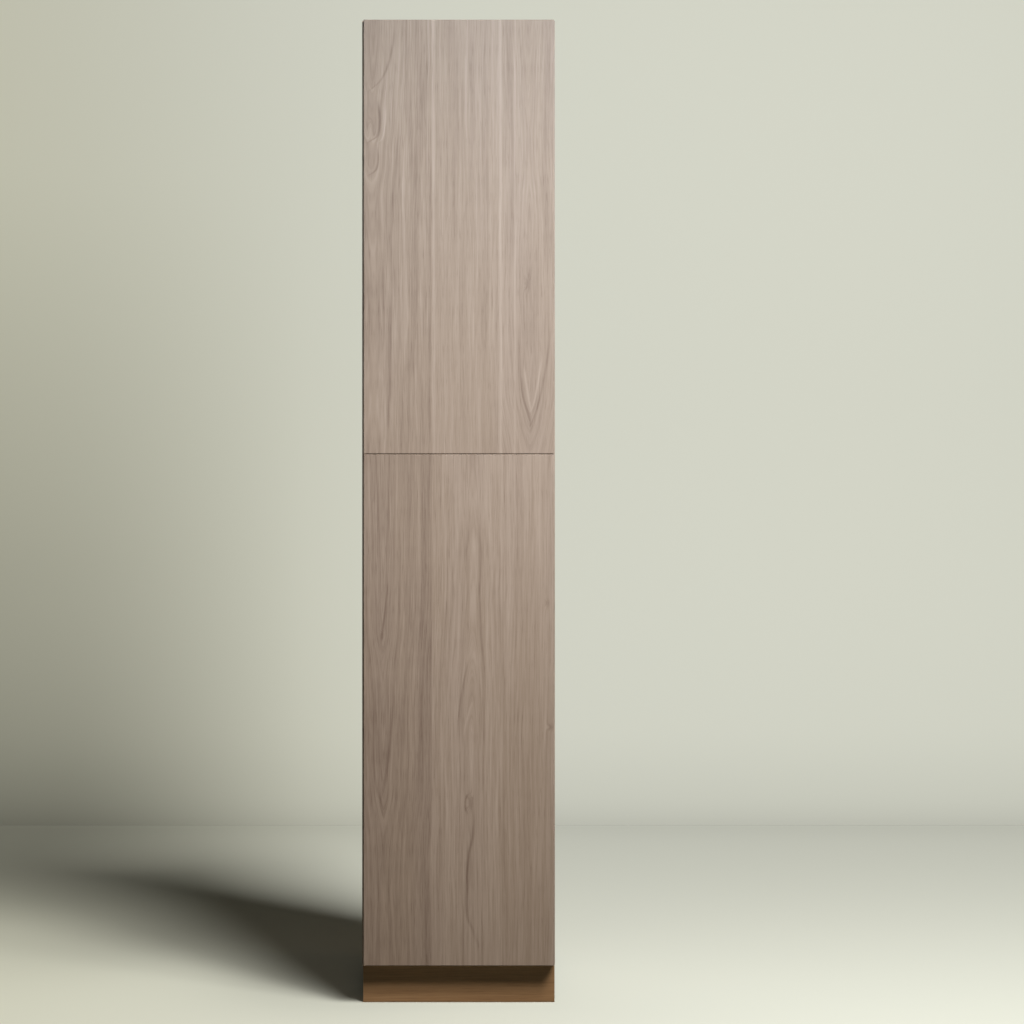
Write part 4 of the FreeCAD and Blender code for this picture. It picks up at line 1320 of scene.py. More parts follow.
@dataclass
class Back(SubAssembly):
    """Back panels, the strip between them and the wall rail."""

    def build(self) -> None:
        """Dresses the back."""
        for node in ("upper_back_panel", "lower_back_panel"):
            self.board(node, Way.FRONT, WHITE_MELAMINE, HARDBOARD, HARDBOARD)
        self.dress("back_joint_strip", WHITE_PLASTIC)
        self.board("wall_rail", Way.FRONT, WHITE_MELAMINE, WHITE_MELAMINE, CHIPBOARD)


@dataclass
class Screws(SubAssembly):
    """Cross-recess screws of one size, in place of a CAD node's plain ones."""

    node: str = ""
    way: Way = Way.UP
    body: Body = Body.CARCASS
    head_height: float = 1.6 * MM
    head_share: float = 0.5
    cross_share: float = 0.55
    cross_width: float = 0.8 * MM
    thread_depth: float = 0.4 * MM
    pitch: float = 1.3 * MM
    point_share: float = 1.6

    def build(self) -> None:
        """Stamps a modelled screw over each plain one."""
        boxes = solids(self.node)
        pattern = self.pattern(boxes[0])
        shape = Shape()
        for box in boxes:
            shape.stamp(pattern, matrix_to(box.end(self.way), self.way))
        self.place(shape, f"{self.node.removesuffix('s')}_set", self.body, Slot.STEEL, STEEL, self.node)

    def pattern(self, box: Box) -> bpy.types.Mesh:
        """Models one screw with the top of its head at the origin and its shank along -Z.

        Args:
            box: The box of one plain screw.

        Returns:
            The screw's mesh.
        """
        head = box.girth(self.way) / 2
        shank = head * self.head_share
        tip = -box.reach(self.way)
        under = -self.head_height
        core = shank - self.thread_depth
        point = self.point_share * shank
        profile = [(0.0, 0.0), (0.72 * head, 0.0), (0.9 * head, 0.16 * under), (head, 0.5 * under),
                   (0.97 * head, 0.9 * under), (0.93 * head, under), (core, under), (core, tip + point),
                   (0.12 * shank, tip), (0.0, tip)]
        shape = Shape()
        centre = Matrix.Identity(4)
        verts = shape.turned(profile, centre, steps=24)
        shape.cross_recess(verts, centre, self.cross_share * head, self.cross_width, 0.55 * self.head_height)
        run = -tip - self.head_height - point
        root = shank - 1.25 * self.thread_depth
        shape.thread(root, shank, self.pitch, run, Matrix.Translation((0, 0, tip + point)), steps=10)
        return shape.mesh(f"{self.node}_pattern")


@dataclass
class KnockDownFittings(SubAssembly):
    """Cam locks, their bolts and the dowels."""

    recess_depth: float = 1.8 * MM
    recess_width: float = 1.6 * MM
    recess_share: float = 0.55
    flutes: int = 12
    flute_depth: float = 0.35 * MM
    dowel_chamfer: float = 1.0 * MM

    def build(self) -> None:
        """Models the fittings over the plain ones."""
        self.cams()
        self.soften("cam_bolts", "cam_bolt_set", Body.CARCASS, Slot.STEEL, STEEL, 0.3 * MM)
        self.fluted_dowels()

    def cams(self) -> None:
        """Cuts a cross recess into the open face of each cam."""
        shape = merged("cam_locks")
        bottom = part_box("bottom_panel")[0].z
        shelf_low, shelf_high = (corner.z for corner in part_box("fixed_shelf"))
        for box in solids("cam_locks"):
            opens_down = box.middle.z < bottom + 2 * box.size.z or shelf_low < box.middle.z < shelf_high
            way = Way.DOWN if opens_down else Way.UP
            radius = box.girth(Way.UP) / 2
            shape.cross_recess(shape.bm.verts, matrix_to(box.end(way), way), self.recess_share * radius,
                               self.recess_width, self.recess_depth)
        self.place(shape, "cam_lock_set", Body.CARCASS, Slot.ZINC, ZINC, "cam_locks", 0.25 * MM)

    def fluted_dowels(self) -> None:
        """Models fluted dowels with chamfered ends."""
        boxes = solids("dowels")
        length = boxes[0].size.x
        radius = boxes[0].girth(Way.RIGHT) / 2
        chamfer = self.dowel_chamfer
        part = Shape()
        profile = [(0.0, 0.0), (radius - chamfer, 0.0), (radius, chamfer), (radius, length - chamfer),
                   (radius - chamfer, length), (0.0, length)]
        verts = part.turned(profile, Matrix.Identity(4), steps=2 * self.flutes)
        outer = [vert for vert in verts
                 if step_of(vert.co, 2 * self.flutes) % 2 and vert.co.xy.length > radius - chamfer / 2]
        share = 1 - self.flute_depth / radius
        bmesh.ops.scale(part.bm, vec=(share, share, 1.0), verts=outer)
        pattern = part.mesh("dowel_pattern")
        shape = Shape()
        for box in boxes:
            shape.stamp(pattern, matrix_to(box.end(Way.LEFT), Way.RIGHT))
        self.place(shape, "dowel_set", Body.CARCASS, Slot.BEECH, BEECH, "dowels")


@dataclass
class BroomRack(SubAssembly):
    """Rail with three spring clips for broom handles."""

    steel: float = 1.2 * MM
    half_foot: float = 13.0 * MM
    foot_rounding: float = 0.5 * MM
    gap_half: float = 4.2 * MM
    ring_radius: float = 12.6 * MM
    ring_steps: int = 18
    mouth_half_angle: float = 50.0
    lip_lean: float = 25.0
    lip_reach: float = 6.0 * MM
    lip_steps: int = 4
    curl_step: float = 0.75 * MM
    curl_turn: float = 32.0
    curl_steps: int = 6

    def build(self) -> None:
        """Dresses the rail and models the clips."""
        self.board("broom_rail", Way.FRONT, WHITE_MELAMINE, WHITE_MELAMINE, CHIPBOARD)
        shape = Shape()
        for box in solids("broom_clips"):
            self.clip(shape, box)
        self.place(shape, "spring_clip_set", Body.CARCASS, Slot.SPRING_STEEL, SPRING_STEEL, "broom_clips",
                   0.25 * MM)

    def path(self) -> list[tuple[float, float]]:
        """Line of one spring arm from the foot to its curled lip, from the ring's middle.

        Returns:
            Each point's place sideways and to the back, in order.
        """
        start = math.asin(self.gap_half / self.ring_radius)
        stop = math.pi - math.radians(self.mouth_half_angle)
        angles = [start + (stop - start) * step / self.ring_steps for step in range(self.ring_steps + 1)]
        radius = self.ring_radius
        points = [(radius * math.sin(angle), radius * math.cos(angle)) for angle in angles]
        heading = math.radians(self.lip_lean - 90)
        x, y = points[-1]
        for step in range(1, self.lip_steps + 1):
            along = self.lip_reach * step / self.lip_steps
            points.append((x + along * math.cos(heading), y + along * math.sin(heading)))
        x, y = points[-1]
        for step in range(1, self.curl_steps + 1):
            turn = heading + math.radians(self.curl_turn * step)
            x += self.curl_step * math.cos(turn)
            y += self.curl_step * math.sin(turn)
            points.append((x, y))
        return points

    def clip(self, shape: Shape, box: Box) -> None:
        """Models one clip: a foot plate and two sprung arms.

        Args:
            shape: The shape to add to.
            box: The box of the plain clip.
        """
        middle = box.middle.x
        foot_low = Vector((middle - self.half_foot, box.high.y - self.steel, box.low.z))
        foot_high = Vector((middle + self.half_foot, box.high.y, box.high.z))
        shape.block(foot_low, foot_high, self.foot_rounding, 2)
        centre = Vector((middle, box.high.y - self.steel / 2 - self.ring_radius, box.low.z))
        for side in (-1, 1):
            self.arm(shape, centre, side, box.size.z)

    def arm(self, shape: Shape, centre: Vector, side: int, height: float) -> None:
        """Models one sprung arm as a thick ribbon.

        Args:
            shape: The shape to add to.
            centre: Middle of the ring, at the clip's lower edge.
            side: -1 on the left and 1 on the right.
            height: Height of the clip.
        """
        def build() -> None:
            """The line of the arm, raised to a ribbon and thickened."""
            points = [shape.bm.verts.new((side * x, y, 0.0)) for x, y in self.path()]
            edges = [shape.bm.edges.new(pair) for pair in zip(points, points[1:])]
            raised = bmesh.ops.extrude_edge_only(shape.bm, edges=edges)["geom"]
            bmesh.ops.translate(shape.bm, vec=(0, 0, height), verts=verts_of(raised))
            faces = list({face for point in points for face in point.link_faces})
            bmesh.ops.recalc_face_normals(shape.bm, faces=faces)
            bmesh.ops.solidify(shape.bm, geom=faces, thickness=self.steel * 0.98)

        shape.fresh(build, Matrix.Translation(centre))


@dataclass
class Hinges(SubAssembly):
    """Concealed hinges: plates and arms on the carcass, cups and pins on the doors."""

    edge: float = 0.35 * MM
    pin_dome: float = 0.4 * MM
    pin_flat: float = 0.7

    def build(self) -> None:
        """Softens the plain hinge parts."""
        self.soften("hinge_plates", "hinge_plate_set", Body.CARCASS, Slot.NICKEL, NICKEL, self.edge)
        self.soften("hinge_arms", "hinge_arm_set", Body.CARCASS, Slot.NICKEL, NICKEL, self.edge)
        for side, body in (("upper", Body.UPPER_DOOR), ("lower", Body.LOWER_DOOR)):
            self.soften(f"{side}_hinge_cups", f"{side}_hinge_cup_set", body, Slot.NICKEL, NICKEL, 0.25 * MM)
            self.pins(side, body)

    def pins(self, side: str, body: Body) -> None:
        """Models the domed hinge pins of one door.

        Args:
            side: Which door, upper or lower.
            body: The body of that door.
        """
        node = f"{side}_hinge_pins"
        shape = Shape()
        for box in solids(node):
            radius = box.girth(Way.UP) / 2
            length = box.size.z
            flat = self.pin_flat * radius
            profile = [(0.0, 0.0), (flat, 0.0), (radius, self.pin_dome), (radius, length - self.pin_dome),
                       (flat, length), (0.0, length)]
            shape.turned(profile, matrix_to(box.end(Way.DOWN), Way.UP), steps=24)
        self.place(shape, f"{side}_hinge_pin_set", body, Slot.STEEL, STEEL, node)


@dataclass
class Latches(SubAssembly):
    """Push latches: housings, plungers, springs and strike plates."""

    magnet_radius: float = 2.2 * MM
    magnet_sink: float = 0.3 * MM
    tip_share: float = 0.8
    tip_rim: float = 0.4 * MM
    tip_edge: float = 0.15 * MM
    tip_length: float = 2.3 * MM
    neck_edge: float = 0.2 * MM
    first_ring: float = 14.0 * MM
    ring_step: float = 9.0 * MM
    rings: int = 3
    ring_width: float = 2.0 * MM
    ring_depth: float = 0.35 * MM
    slope: float = 0.4 * MM
    tail_bore: float = 3.0 * MM
    tail_bore_share: float = 0.45
    dimple_radius: float = 2.4 * MM
    rim_groove: tuple[float, float, float, float] = (1.4 * MM, 1.0 * MM, 0.7 * MM, 0.4 * MM)
    rim_edge: float = 0.15 * MM

    def build(self) -> None:
        """Models the latches over the plain ones."""
        self.soften("latch_housings", "latch_housing_set", Body.CARCASS, Slot.LATCH_PLASTIC, LATCH_PLASTIC,
                    0.6 * MM)
        self.dress("latch_springs", SPRING_STEEL)
        for side, door, plunger in (("upper", Body.UPPER_DOOR, Body.UPPER_PLUNGER),
                                    ("lower", Body.LOWER_DOOR, Body.LOWER_PLUNGER)):
            self.plunger(side, plunger)
            self.strike(side, door)

    def plunger(self, side: str, body: Body) -> None:
        """Models a plunger with a ringed tip, guide rings and a bored tail.

        Args:
            side: Which door it pushes, upper or lower.
            body: The plunger's body.
        """
        node = f"{side}_latch_plunger"
        box = Box(*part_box(node))
        radius = box.girth(Way.FRONT) / 2
        length = box.size.y
        tip = self.tip_share * radius
        sunk = -self.magnet_sink
        slope = self.slope
        neck = -self.tip_length - self.neck_edge
        profile = [(0.0, 0.0), (self.magnet_radius, 0.0), (self.magnet_radius, sunk),
                   (tip - self.tip_rim, sunk), (tip - self.tip_rim, 0.0), (tip - self.tip_edge, 0.0),
                   (tip, -slope), (tip, -self.tip_length), (radius - self.neck_edge, neck),
                   (radius, neck - slope)]
        groove = radius - self.ring_depth
        for ring in range(self.rings):
            level = -(self.first_ring + self.ring_step * ring)
            profile += [(radius, level), (groove, level - slope), (groove, level - self.ring_width + slope),
                        (radius, level - self.ring_width)]
        bore = self.tail_bore_share * radius
        profile += [(radius, slope - length), (radius - slope, -length), (bore, -length),
                    (bore, self.tail_bore - length), (0.0, self.tail_bore - length)]
        shape = Shape()
        shape.turned(profile, matrix_to(box.end(Way.FRONT), Way.FRONT), steps=40)
        self.place(shape, f"{side}_latch_rod", body, Slot.LATCH_PLASTIC, LATCH_PLASTIC, node)

    def strike(self, side: str, body: Body) -> None:
        """Models a strike plate with a rolled rim and a dimple.

        Args:
            side: Which door it is on, upper or lower.
            body: The body of that door.
        """
        node = f"{side}_strike_plate"
        box = Box(*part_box(node))
        radius = box.girth(Way.BACK) / 2
        thickness = box.size.y
        inner, low_inner, low_outer, outer = (radius - inset for inset in self.rim_groove)
        sunk = -0.12 * thickness
        profile = [(0.0, -0.55 * thickness), (self.dimple_radius / 2, -0.5 * thickness),
                   (self.dimple_radius, 0.0), (inner, 0.0), (low_inner, sunk), (low_outer, sunk),
                   (outer, 0.0), (radius - self.rim_edge, -0.1 * thickness), (radius, -0.4 * thickness),
                   (radius, -thickness), (0.0, -thickness)]
        shape = Shape()
        shape.turned(profile, matrix_to(box.end(Way.BACK), Way.BACK), steps=48)
        self.place(shape, f"{side}_strike_disc", body, Slot.STEEL, STEEL, node)


@dataclass
class Legs(SubAssembly):
    """Sockets, grooved columns and screw feet."""

    plate: float = 4.0 * MM
    plate_rounding: float = 8.0 * MM
    boss_radius: float = 20.0 * MM
    boss_lip: float = 0.8 * MM
    bore_radius: float = 15.2 * MM
    gussets: int = 8
    gusset_width: float = 2.0 * MM
    gusset_reach: float = 9.0 * MM
    gusset_margin: float = 3.0 * MM
    gusset_share: float = 0.72
    column_edge: float = 0.6 * MM
    column_bore: float = 8.3 * MM
    bore_depth: float = 37.0 * MM
    column_grooves: int = 10
    groove_depth: float = 0.7 * MM
    groove_start: float = 4.5 * MM
    groove_stop: float = 29.5 * MM
    groove_ease: float = 0.5 * MM
    pad_height: float = 7.0 * MM
    collar_radius: float = 11.0 * MM
    collar_height: float = 5.0 * MM
    collar_edge: float = 0.7 * MM
    grip_notches: int = 12
    notch_share: float = 0.9
    spindle_radius: float = 8.0 * MM
    spindle_point: float = 1.2 * MM
    spindle_tip: float = 1.0 * MM
    thread_depth: float = 0.9 * MM
    thread_pitch: float = 3.0 * MM
    overlap: float = 0.2 * MM
    clearance: float = 0.01 * MM

    def build(self) -> None:
        """Models the legs over the plain ones."""
        self.sockets()
        self.columns()
        for body in (Body.FRONT_LEFT_FOOT, Body.FRONT_RIGHT_FOOT, Body.REAR_LEFT_FOOT, Body.REAR_RIGHT_FOOT):
            self.foot(body)

    def sockets(self) -> None:
        """Models the sockets: a rounded plate, a lipped boss and gussets between them."""
        boxes = solids("leg_sockets")
        half = boxes[0].size.x / 2
        drop = boxes[0].size.z
        part = Shape()
        part.block(Vector((-half, -half, -self.plate)), Vector((half, half, 0.0)))
        corners = [edge for edge in part.bm.edges
                   if abs(edge.verts[0].co.z - edge.verts[1].co.z) > self.plate / 2]
        bmesh.ops.bevel(part.bm, geom=corners, offset=self.plate_rounding, affect="EDGES", segments=6,
                        profile=0.5, material=-1)
        lip = self.boss_lip
        inner, outer = self.bore_radius, self.boss_radius
        boss = [(inner, -self.plate / 2), (inner, lip - drop), (inner + lip / 2, -drop), (outer - lip, -drop),
                (outer, lip - drop), (outer, 3 * lip - drop), (outer - lip, 4 * lip - drop),
                (outer - lip, -self.plate / 2)]
        part.turned(boss, Matrix.Identity(4), steps=48, closed=True)
        for number in range(self.gussets):
            self.gusset(part, 2 * math.pi * number / self.gussets, half, drop)
        pattern = part.mesh("socket_pattern")
        shape = Shape()
        for box in boxes:
            shape.stamp(pattern, Matrix.Translation(box.end(Way.UP)))
        self.place(shape, "leg_socket_set", Body.CARCASS, Slot.LEG_PLASTIC, LEG_PLASTIC, "leg_sockets",
                   0.3 * MM)

    def gusset(self, part: Shape, angle: float, half: float, drop: float) -> None:
        """Models one three-cornered gusset between the plate and the boss.

        Args:
            part: The shape to add to.
            angle: Its turn round the boss.
            half: Half the plate's width.
            drop: Height of the whole socket.
        """
        def build() -> None:
            """A corner of sheet, thickened."""
            far = min(half - self.gusset_margin, self.boss_radius + self.gusset_reach)
            near = self.boss_radius - 1.5 * self.boss_lip
            width = self.gusset_width / 2
            top = self.overlap - self.plate
            corners = ((near, -width, top), (far, -width, top), (near, -width, -self.gusset_share * drop))
            points = [part.bm.verts.new(corner) for corner in corners]
            face = bmesh.ops.contextual_create(part.bm, geom=points)["faces"]
            raised = bmesh.ops.extrude_face_region(part.bm, geom=face)["geom"]
            bmesh.ops.translate(part.bm, vec=(0, self.gusset_width, 0), verts=verts_of(raised))

        part.fresh(build, Matrix.Rotation(angle, 4, "Z"))

    def columns(self) -> None:
        """Models the leg tubes with grooved sides and a bore for the foot's spindle."""
        boxes = solids("leg_columns")
        radius = boxes[0].girth(Way.UP) / 2
        length = boxes[0].size.z
        edge = self.column_edge
        low, high = self.groove_start, length - self.groove_stop
        levels = (edge, low - self.groove_ease, low + self.groove_ease, high - self.groove_ease,
                  high + self.groove_ease, length - edge)
        profile = [(self.column_bore, 0.0), (radius - edge, 0.0), *((radius, level) for level in levels),
                   (radius - edge, length), (0.0, length), (0.0, self.bore_depth),
                   (self.column_bore, self.bore_depth)]
        part = Shape()
        steps = 4 * self.column_grooves
        verts = part.turned(profile, Matrix.Identity(4), steps=steps, closed=True)
        sunk = [vert for vert in verts
                if low < vert.co.z < high and vert.co.xy.length > radius - edge / 2
                and step_of(vert.co, steps) % 4 == 0]
        share = 1 - self.groove_depth / radius
        bmesh.ops.scale(part.bm, vec=(share, share, 1.0), verts=sunk)
        pattern = part.mesh("column_pattern")
        shape = Shape()
        for box in boxes:
            shape.stamp(pattern, Matrix.Translation(box.end(Way.DOWN)))
        self.place(shape, "leg_column_set", Body.CARCASS, Slot.LEG_PLASTIC, LEG_PLASTIC, "leg_columns")

    def foot(self, body: Body) -> None:
        """Models one foot: a ringed pad, a notched grip collar and a threaded spindle.

        Args:
            body: The foot's body.
        """
        box = Box(*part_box(body.value))
        base = matrix_to(box.end(Way.DOWN), Way.UP)
        top = box.size.z
        shape = Shape()
        shape.turned(self.pad(box.girth(Way.UP) / 2 - self.clearance), base, steps=64)
        grip_top = self.pad_height + self.collar_height
        self.collar(shape, base, grip_top)
        core = self.spindle_radius - self.thread_depth
        start = grip_top - 1.5 * self.overlap
        spindle = [(0.0, start), (core, start), (core, top - self.spindle_point),
                   (core - self.spindle_point, top), (0.0, top)]
        shape.turned(spindle, base, steps=40)
        climb = base @ Matrix.Translation((0, 0, start))
        run = top - self.spindle_tip - start
        shape.thread(core - self.overlap, self.spindle_radius, self.thread_pitch, run, climb, steps=36)
        self.place(shape, f"{body.value}_screw_foot", body, Slot.LEG_PLASTIC, LEG_PLASTIC, body.value)

    def pad(self, radius: float) -> list[tuple[float, float]]:
        """Profile of a foot's pad, with a ring under it and an eased rim.

        Args:
            radius: The pad's radius.

        Returns:
            Radius and height of each point, from the underside up.
        """
        height = self.pad_height
        return [(0.0, 1.0 * MM), (0.55 * radius, 1.0 * MM), (0.58 * radius, 0.0), (0.74 * radius, 0.0),
                (0.76 * radius, 0.7 * MM), (0.80 * radius, 0.7 * MM), (0.82 * radius, 0.0),
                (radius - 0.5 * MM, 0.0), (radius, 0.5 * MM), (radius, height - 2.0 * MM),
                (radius - 0.6 * MM, height - 0.6 * MM), (radius - 2.0 * MM, height),
                (0.52 * radius, height + 0.01 * MM), (0.0, height + 0.01 * MM)]

    def collar(self, shape: Shape, base: Matrix, top: float) -> None:
        """Models the notched collar that turns a foot.

        Args:
            shape: The shape to add to.
            base: Where the foot is.
            top: Height of the collar's top.
        """
        foot, radius, edge = self.pad_height - 2 * self.overlap, self.collar_radius, self.collar_edge
        profile = [(0.0, foot), (radius, foot), (radius, top - edge), (radius - edge, top), (0.0, top)]
        steps = 3 * self.grip_notches
        verts = shape.turned(profile, base, steps=steps)
        middle = base.translation
        rim = [vert for vert in verts
               if (vert.co - middle).xy.length > 0.8 * radius and step_of(vert.co - middle, steps) % 3 == 0]
        bmesh.ops.scale(shape.bm, vec=(self.notch_share, self.notch_share, 1.0),
                        space=Matrix.Translation(-middle), verts=rim)


@dataclass
class Plinth(SubAssembly):
    """Plinth board and the clips behind it."""

    decor: Finish | None = None

    def build(self) -> None:
        """Dresses the board and softens the clips."""
        self.dress("plinth_board", self.decor)
        self.soften("plinth_clips", "plinth_clip_set", Body.PLINTH, Slot.LEG_PLASTIC, LEG_PLASTIC, 0.6 * MM)


# Studio

WHITE: Colour = (1.0, 1.0, 1.0)
SOFT_WHITE: Colour = (1.0, 1.0, 0.97)


@dataclass(frozen=True)
class Lamp:
    """One soft lamp: a square panel, or a far one when it has no place."""

    name: str
    aim: Place
    power: float
    colour: Colour
    place: Place | None = None
    size: float = 1.5
    for_stage: bool = False
    spread: float = 180.0

    def hang(self, receivers: bpy.types.Collection) -> None:
        """Hangs the lamp.

        Args:
            receivers: What it lights.
        """
        data = bpy.data.lights.new(self.name, "AREA" if self.place else "SUN")
        if self.place:
            data.shape = "SQUARE"
            data.size = self.size
            data.spread = math.radians(self.spread)
        else:
            data.angle = self.size
        data.energy = self.power
        data.color = self.colour
        holder = bpy.data.objects.new(self.name, data)
        bpy.context.scene.collection.objects.link(holder)
        start = Vector(self.place or (0.0, 0.0, 0.0))
        holder.location = start
        holder.rotation_mode = "QUATERNION"
        holder.rotation_quaternion = (Vector(self.aim) - start).to_track_quat("-Z", "Y")
        holder.visible_camera = False
        holder.light_linking.receiver_collection = receivers


@dataclass(frozen=True)
class PaintedShadowPatch:
    """A soft-edged oval of painted shadow on the floor."""

    middle: tuple[float, float]
    widths: tuple[float, float]
    strength: float


@dataclass
class Studio:
    """Floor and wall in one sweep, soft lamps and the camera."""

    wall: float = 2.95
    floor_front: float = -14.0
    half_width: float = 14.0
    height: float = 9.0
    camera_place: Place = (0.111, -5.911, 1.025)
    lens: float = 95.2
    sage: Colour = (0.77, 0.78, 0.675)
    # Painted shade: the warm olive that the sweep turns towards its lower left, where shade falls.
    painted_shade_olive: Colour = (0.76, 0.75, 0.59)
    surround: Colour = srgb(214, 216, 203)
    ambient: Colour = (0.014, 0.013, 0.009)
    bounce: float = 0.07
    fade_start: float = 4.0
    fade_end: float = 8.0
    # Painted shade along the wall's foot and on the joint line with the floor.
    wall_foot_painted_shade: float = 0.10
    wall_line_painted_shade: float = 0.08
    # Painted light: a negative share brightens the wall a little above its foot.
    wall_painted_light: float = -0.045
    joint: float = 0.035
    # Painted shadow of the cupboard to the far left of the wall and floor, deeper near the floor.
    far_left_painted_shadow: float = 0.05
    far_left_low_painted_shadow: float = 0.55
    # Painted shadow at the cupboard's foot, in front of it and to its left front.
    painted_shadow_patches: tuple[PaintedShadowPatch, ...] = (
        PaintedShadowPatch((-0.05, -0.4), (0.5, 0.35), 0.08), PaintedShadowPatch((-0.3, 0.1), (0.22, 0.35), 0.35),
        PaintedShadowPatch((-0.75, 0.5), (0.35, 0.4), 0.17))
    lamps: tuple[Lamp, ...] = (
        Lamp("floor_key", (0.11, 2.85, 1.25), 86.0, WHITE, (1.53, -2.14, 2.55), 1.2, True),
        Lamp("floor_far", (-0.366, 0.660, -0.656), 2.4, WHITE, None, 0.35, True),
        Lamp("floor_fill", (-0.3, 0.6, 0.0), 8.0, WHITE, (-1.2, -2.6, 4.2), 3.0, True),
        Lamp("door_key", (0.0, -0.31, 4.5), 63.8, (0.77, 0.873, 1.0), (1.05, -2.3, 2.2), 1.6),
        Lamp("door_front", (0.0, -0.31, 0.6), 13.3, (1.0, 0.896, 0.814), (0.9, -2.6, 2.4), 1.2, False, 80.0),
        Lamp("rear_left", (-0.1, 0.1, 1.0), 58.0, SOFT_WHITE, (-2.6, 2.4, 2.0), 1.6),
        Lamp("rear_right", (0.1, 0.2, 1.0), 46.0, SOFT_WHITE, (2.6, 2.6, 2.2), 1.6),
        Lamp("overhead", (0.0, 0.0, 2.0), 12.0, SOFT_WHITE, (0.0, 0.03, 3.7), 0.34))

    def build(self) -> None:
        """Sets the stage."""
        scene = bpy.context.scene
        pieces = bpy.data.collections.new("lit_cupboard")
        stage = bpy.data.collections.new("lit_stage")
        for thing in scene.objects:
            if thing.type == "MESH":
                pieces.objects.link(thing)
        stage.objects.link(self.sweep())
        for lamp in self.lamps:
            lamp.hang(stage if lamp.for_stage else pieces)
        self.world()
        self.camera()
        scene.view_settings.view_transform = "Standard"

    def sweep(self) -> bpy.types.Object:
        """Models the floor and wall as one swept sheet.

        Returns:
            The sheet.
        """
        bm = bmesh.new()
        line = [(self.floor_front, 0.0), (self.wall, 0.0), (self.wall, self.height)]
        points = [bm.verts.new((-self.half_width, y, z)) for y, z in line]
        edges = [bm.edges.new(pair) for pair in zip(points, points[1:])]
        raised = bmesh.ops.extrude_edge_only(bm, edges=edges)["geom"]
        bmesh.ops.translate(bm, vec=(2 * self.half_width, 0, 0), verts=verts_of(raised))
        bmesh.ops.recalc_face_normals(bm, faces=bm.faces)
        if max(bm.faces, key=lambda face: abs(face.normal.z)).normal.z < 0:
            bmesh.ops.reverse_faces(bm, faces=bm.faces)
        mesh = bpy.data.meshes.new("studio_sweep")
        bm.to_mesh(mesh)
        bm.free()
        sheet = bpy.data.objects.new("studio_sweep", mesh)
        bpy.context.scene.collection.objects.link(sheet)
        sheet.data.materials.append(self.sweep_material())
        return sheet

    def sweep_material(self) -> bpy.types.Material:
        """Pale sage paint that bounces little light, and that is clear from behind and far away.

        Returns:
            The material.
        """
        graph = Graph("sage_sweep")
        across, depth, height = (graph.weighed(axis) for axis in (ACROSS, DEEP, UPRIGHT))
        cloud = graph.noise(graph.place, scale=0.6, detail=2.0)
        # Painted shade: the sweep turns olive towards the lower left, standing in for the warm colour of
        # shade there.
        left = graph.between(graph.weighed((1.0, 0.0, 0.25)), 0.4, -1.6)
        paint = graph.tint(graph.plus(left, graph.swing(cloud, 0.05)), self.sage, self.painted_shade_olive)
        # Painted shade and shadow: darker paint at the wall's foot, along its joint, to the far left and
        # round the cupboard.
        kept = graph.times(self.wall_shade(graph, across, depth, height),
                           self.floor_shade(graph, across, depth, height))
        paint = graph.tint(1.0, paint, graph.vector(kept, kept, kept), "MULTIPLY")
        dim = tuple(self.bounce * channel for channel in self.sage)
        shader = graph.node("ShaderNodeBsdfDiffuse")
        graph.feed(shader.inputs["Color"], graph.tint(graph.seen(), dim, paint))
        clear = graph.node("ShaderNodeBsdfTransparent")
        away = graph.plus(graph.bell(across, 0.0, 1.0), graph.bell(depth, 0.0, 1.0))
        behind = graph.math("MAXIMUM", graph.node("ShaderNodeNewGeometry").outputs["Backfacing"],
                            graph.between(away, self.fade_start ** 2, self.fade_end ** 2))
        mixed = graph.node("ShaderNodeMixShader")
        for target, value in zip(mixed.inputs, (behind, shader.outputs["BSDF"], clear.outputs["BSDF"])):
            graph.feed(target, value)
        output = graph.node("ShaderNodeOutputMaterial")
        graph.feed(output.inputs["Surface"], mixed.outputs[0])
        return graph.material

    def wall_shade(self, graph: Graph, across: Socket, depth: Socket, height: Socket) -> Socket:
        """Painted shade at the wall's foot and along its joint with the floor, painted shadow to the far
        left, and a faint painted light above the foot.

        Args:
            graph: The graph to add to.
            across: Place from left to right.
            depth: Place from front to back.
            height: Height above the floor.

        Returns:
            How much of the paint's colour is left.
        """
        on_wall = graph.fade(graph.bell(depth, self.wall, 0.01))
        # Painted shade at the wall's foot and on the joint line, and painted light a little higher.
        foot = graph.plus(graph.times(graph.between(height, 0.35, 0.0), self.wall_foot_painted_shade),
                          graph.times(graph.fade(graph.bell(height, 0.0, 0.06)), self.wall_line_painted_shade),
                          graph.times(graph.between(height, 1.6, 0.4), self.wall_painted_light))
        # Painted shade along the joint of wall and floor.
        joint = graph.patch(depth, height, (self.wall, 0.0), (0.35, 0.02))
        # Painted shadow to the far left, deeper near the floor.
        fading = graph.fade(graph.math("DIVIDE", height, 0.85))
        low = graph.plus(graph.times(fading, self.far_left_low_painted_shadow), self.far_left_painted_shadow)
        far = graph.times(graph.between(across, -0.2, -1.4), graph.between(depth, -0.4, self.wall))
        kept = graph.times(graph.rest(far, low), graph.rest(on_wall, foot))
        return graph.times(kept, graph.rest(joint, self.joint))

    def floor_shade(self, graph: Graph, across: Socket, depth: Socket, height: Socket) -> Socket:
        """Painted shadow in patches of the floor round the cupboard.

        Args:
            graph: The graph to add to.
            across: Place from left to right.
            depth: Place from front to back.
            height: Height above the floor.

        Returns:
            How much of the paint's colour is left.
        """
        on_floor = graph.rest(graph.between(height, 0.0, 0.01))
        kept: object = 1.0
        for patch in self.painted_shadow_patches:
            share = graph.times(on_floor, graph.patch(across, depth, patch.middle, patch.widths))
            kept = graph.times(kept, graph.rest(share, patch.strength))
        return kept

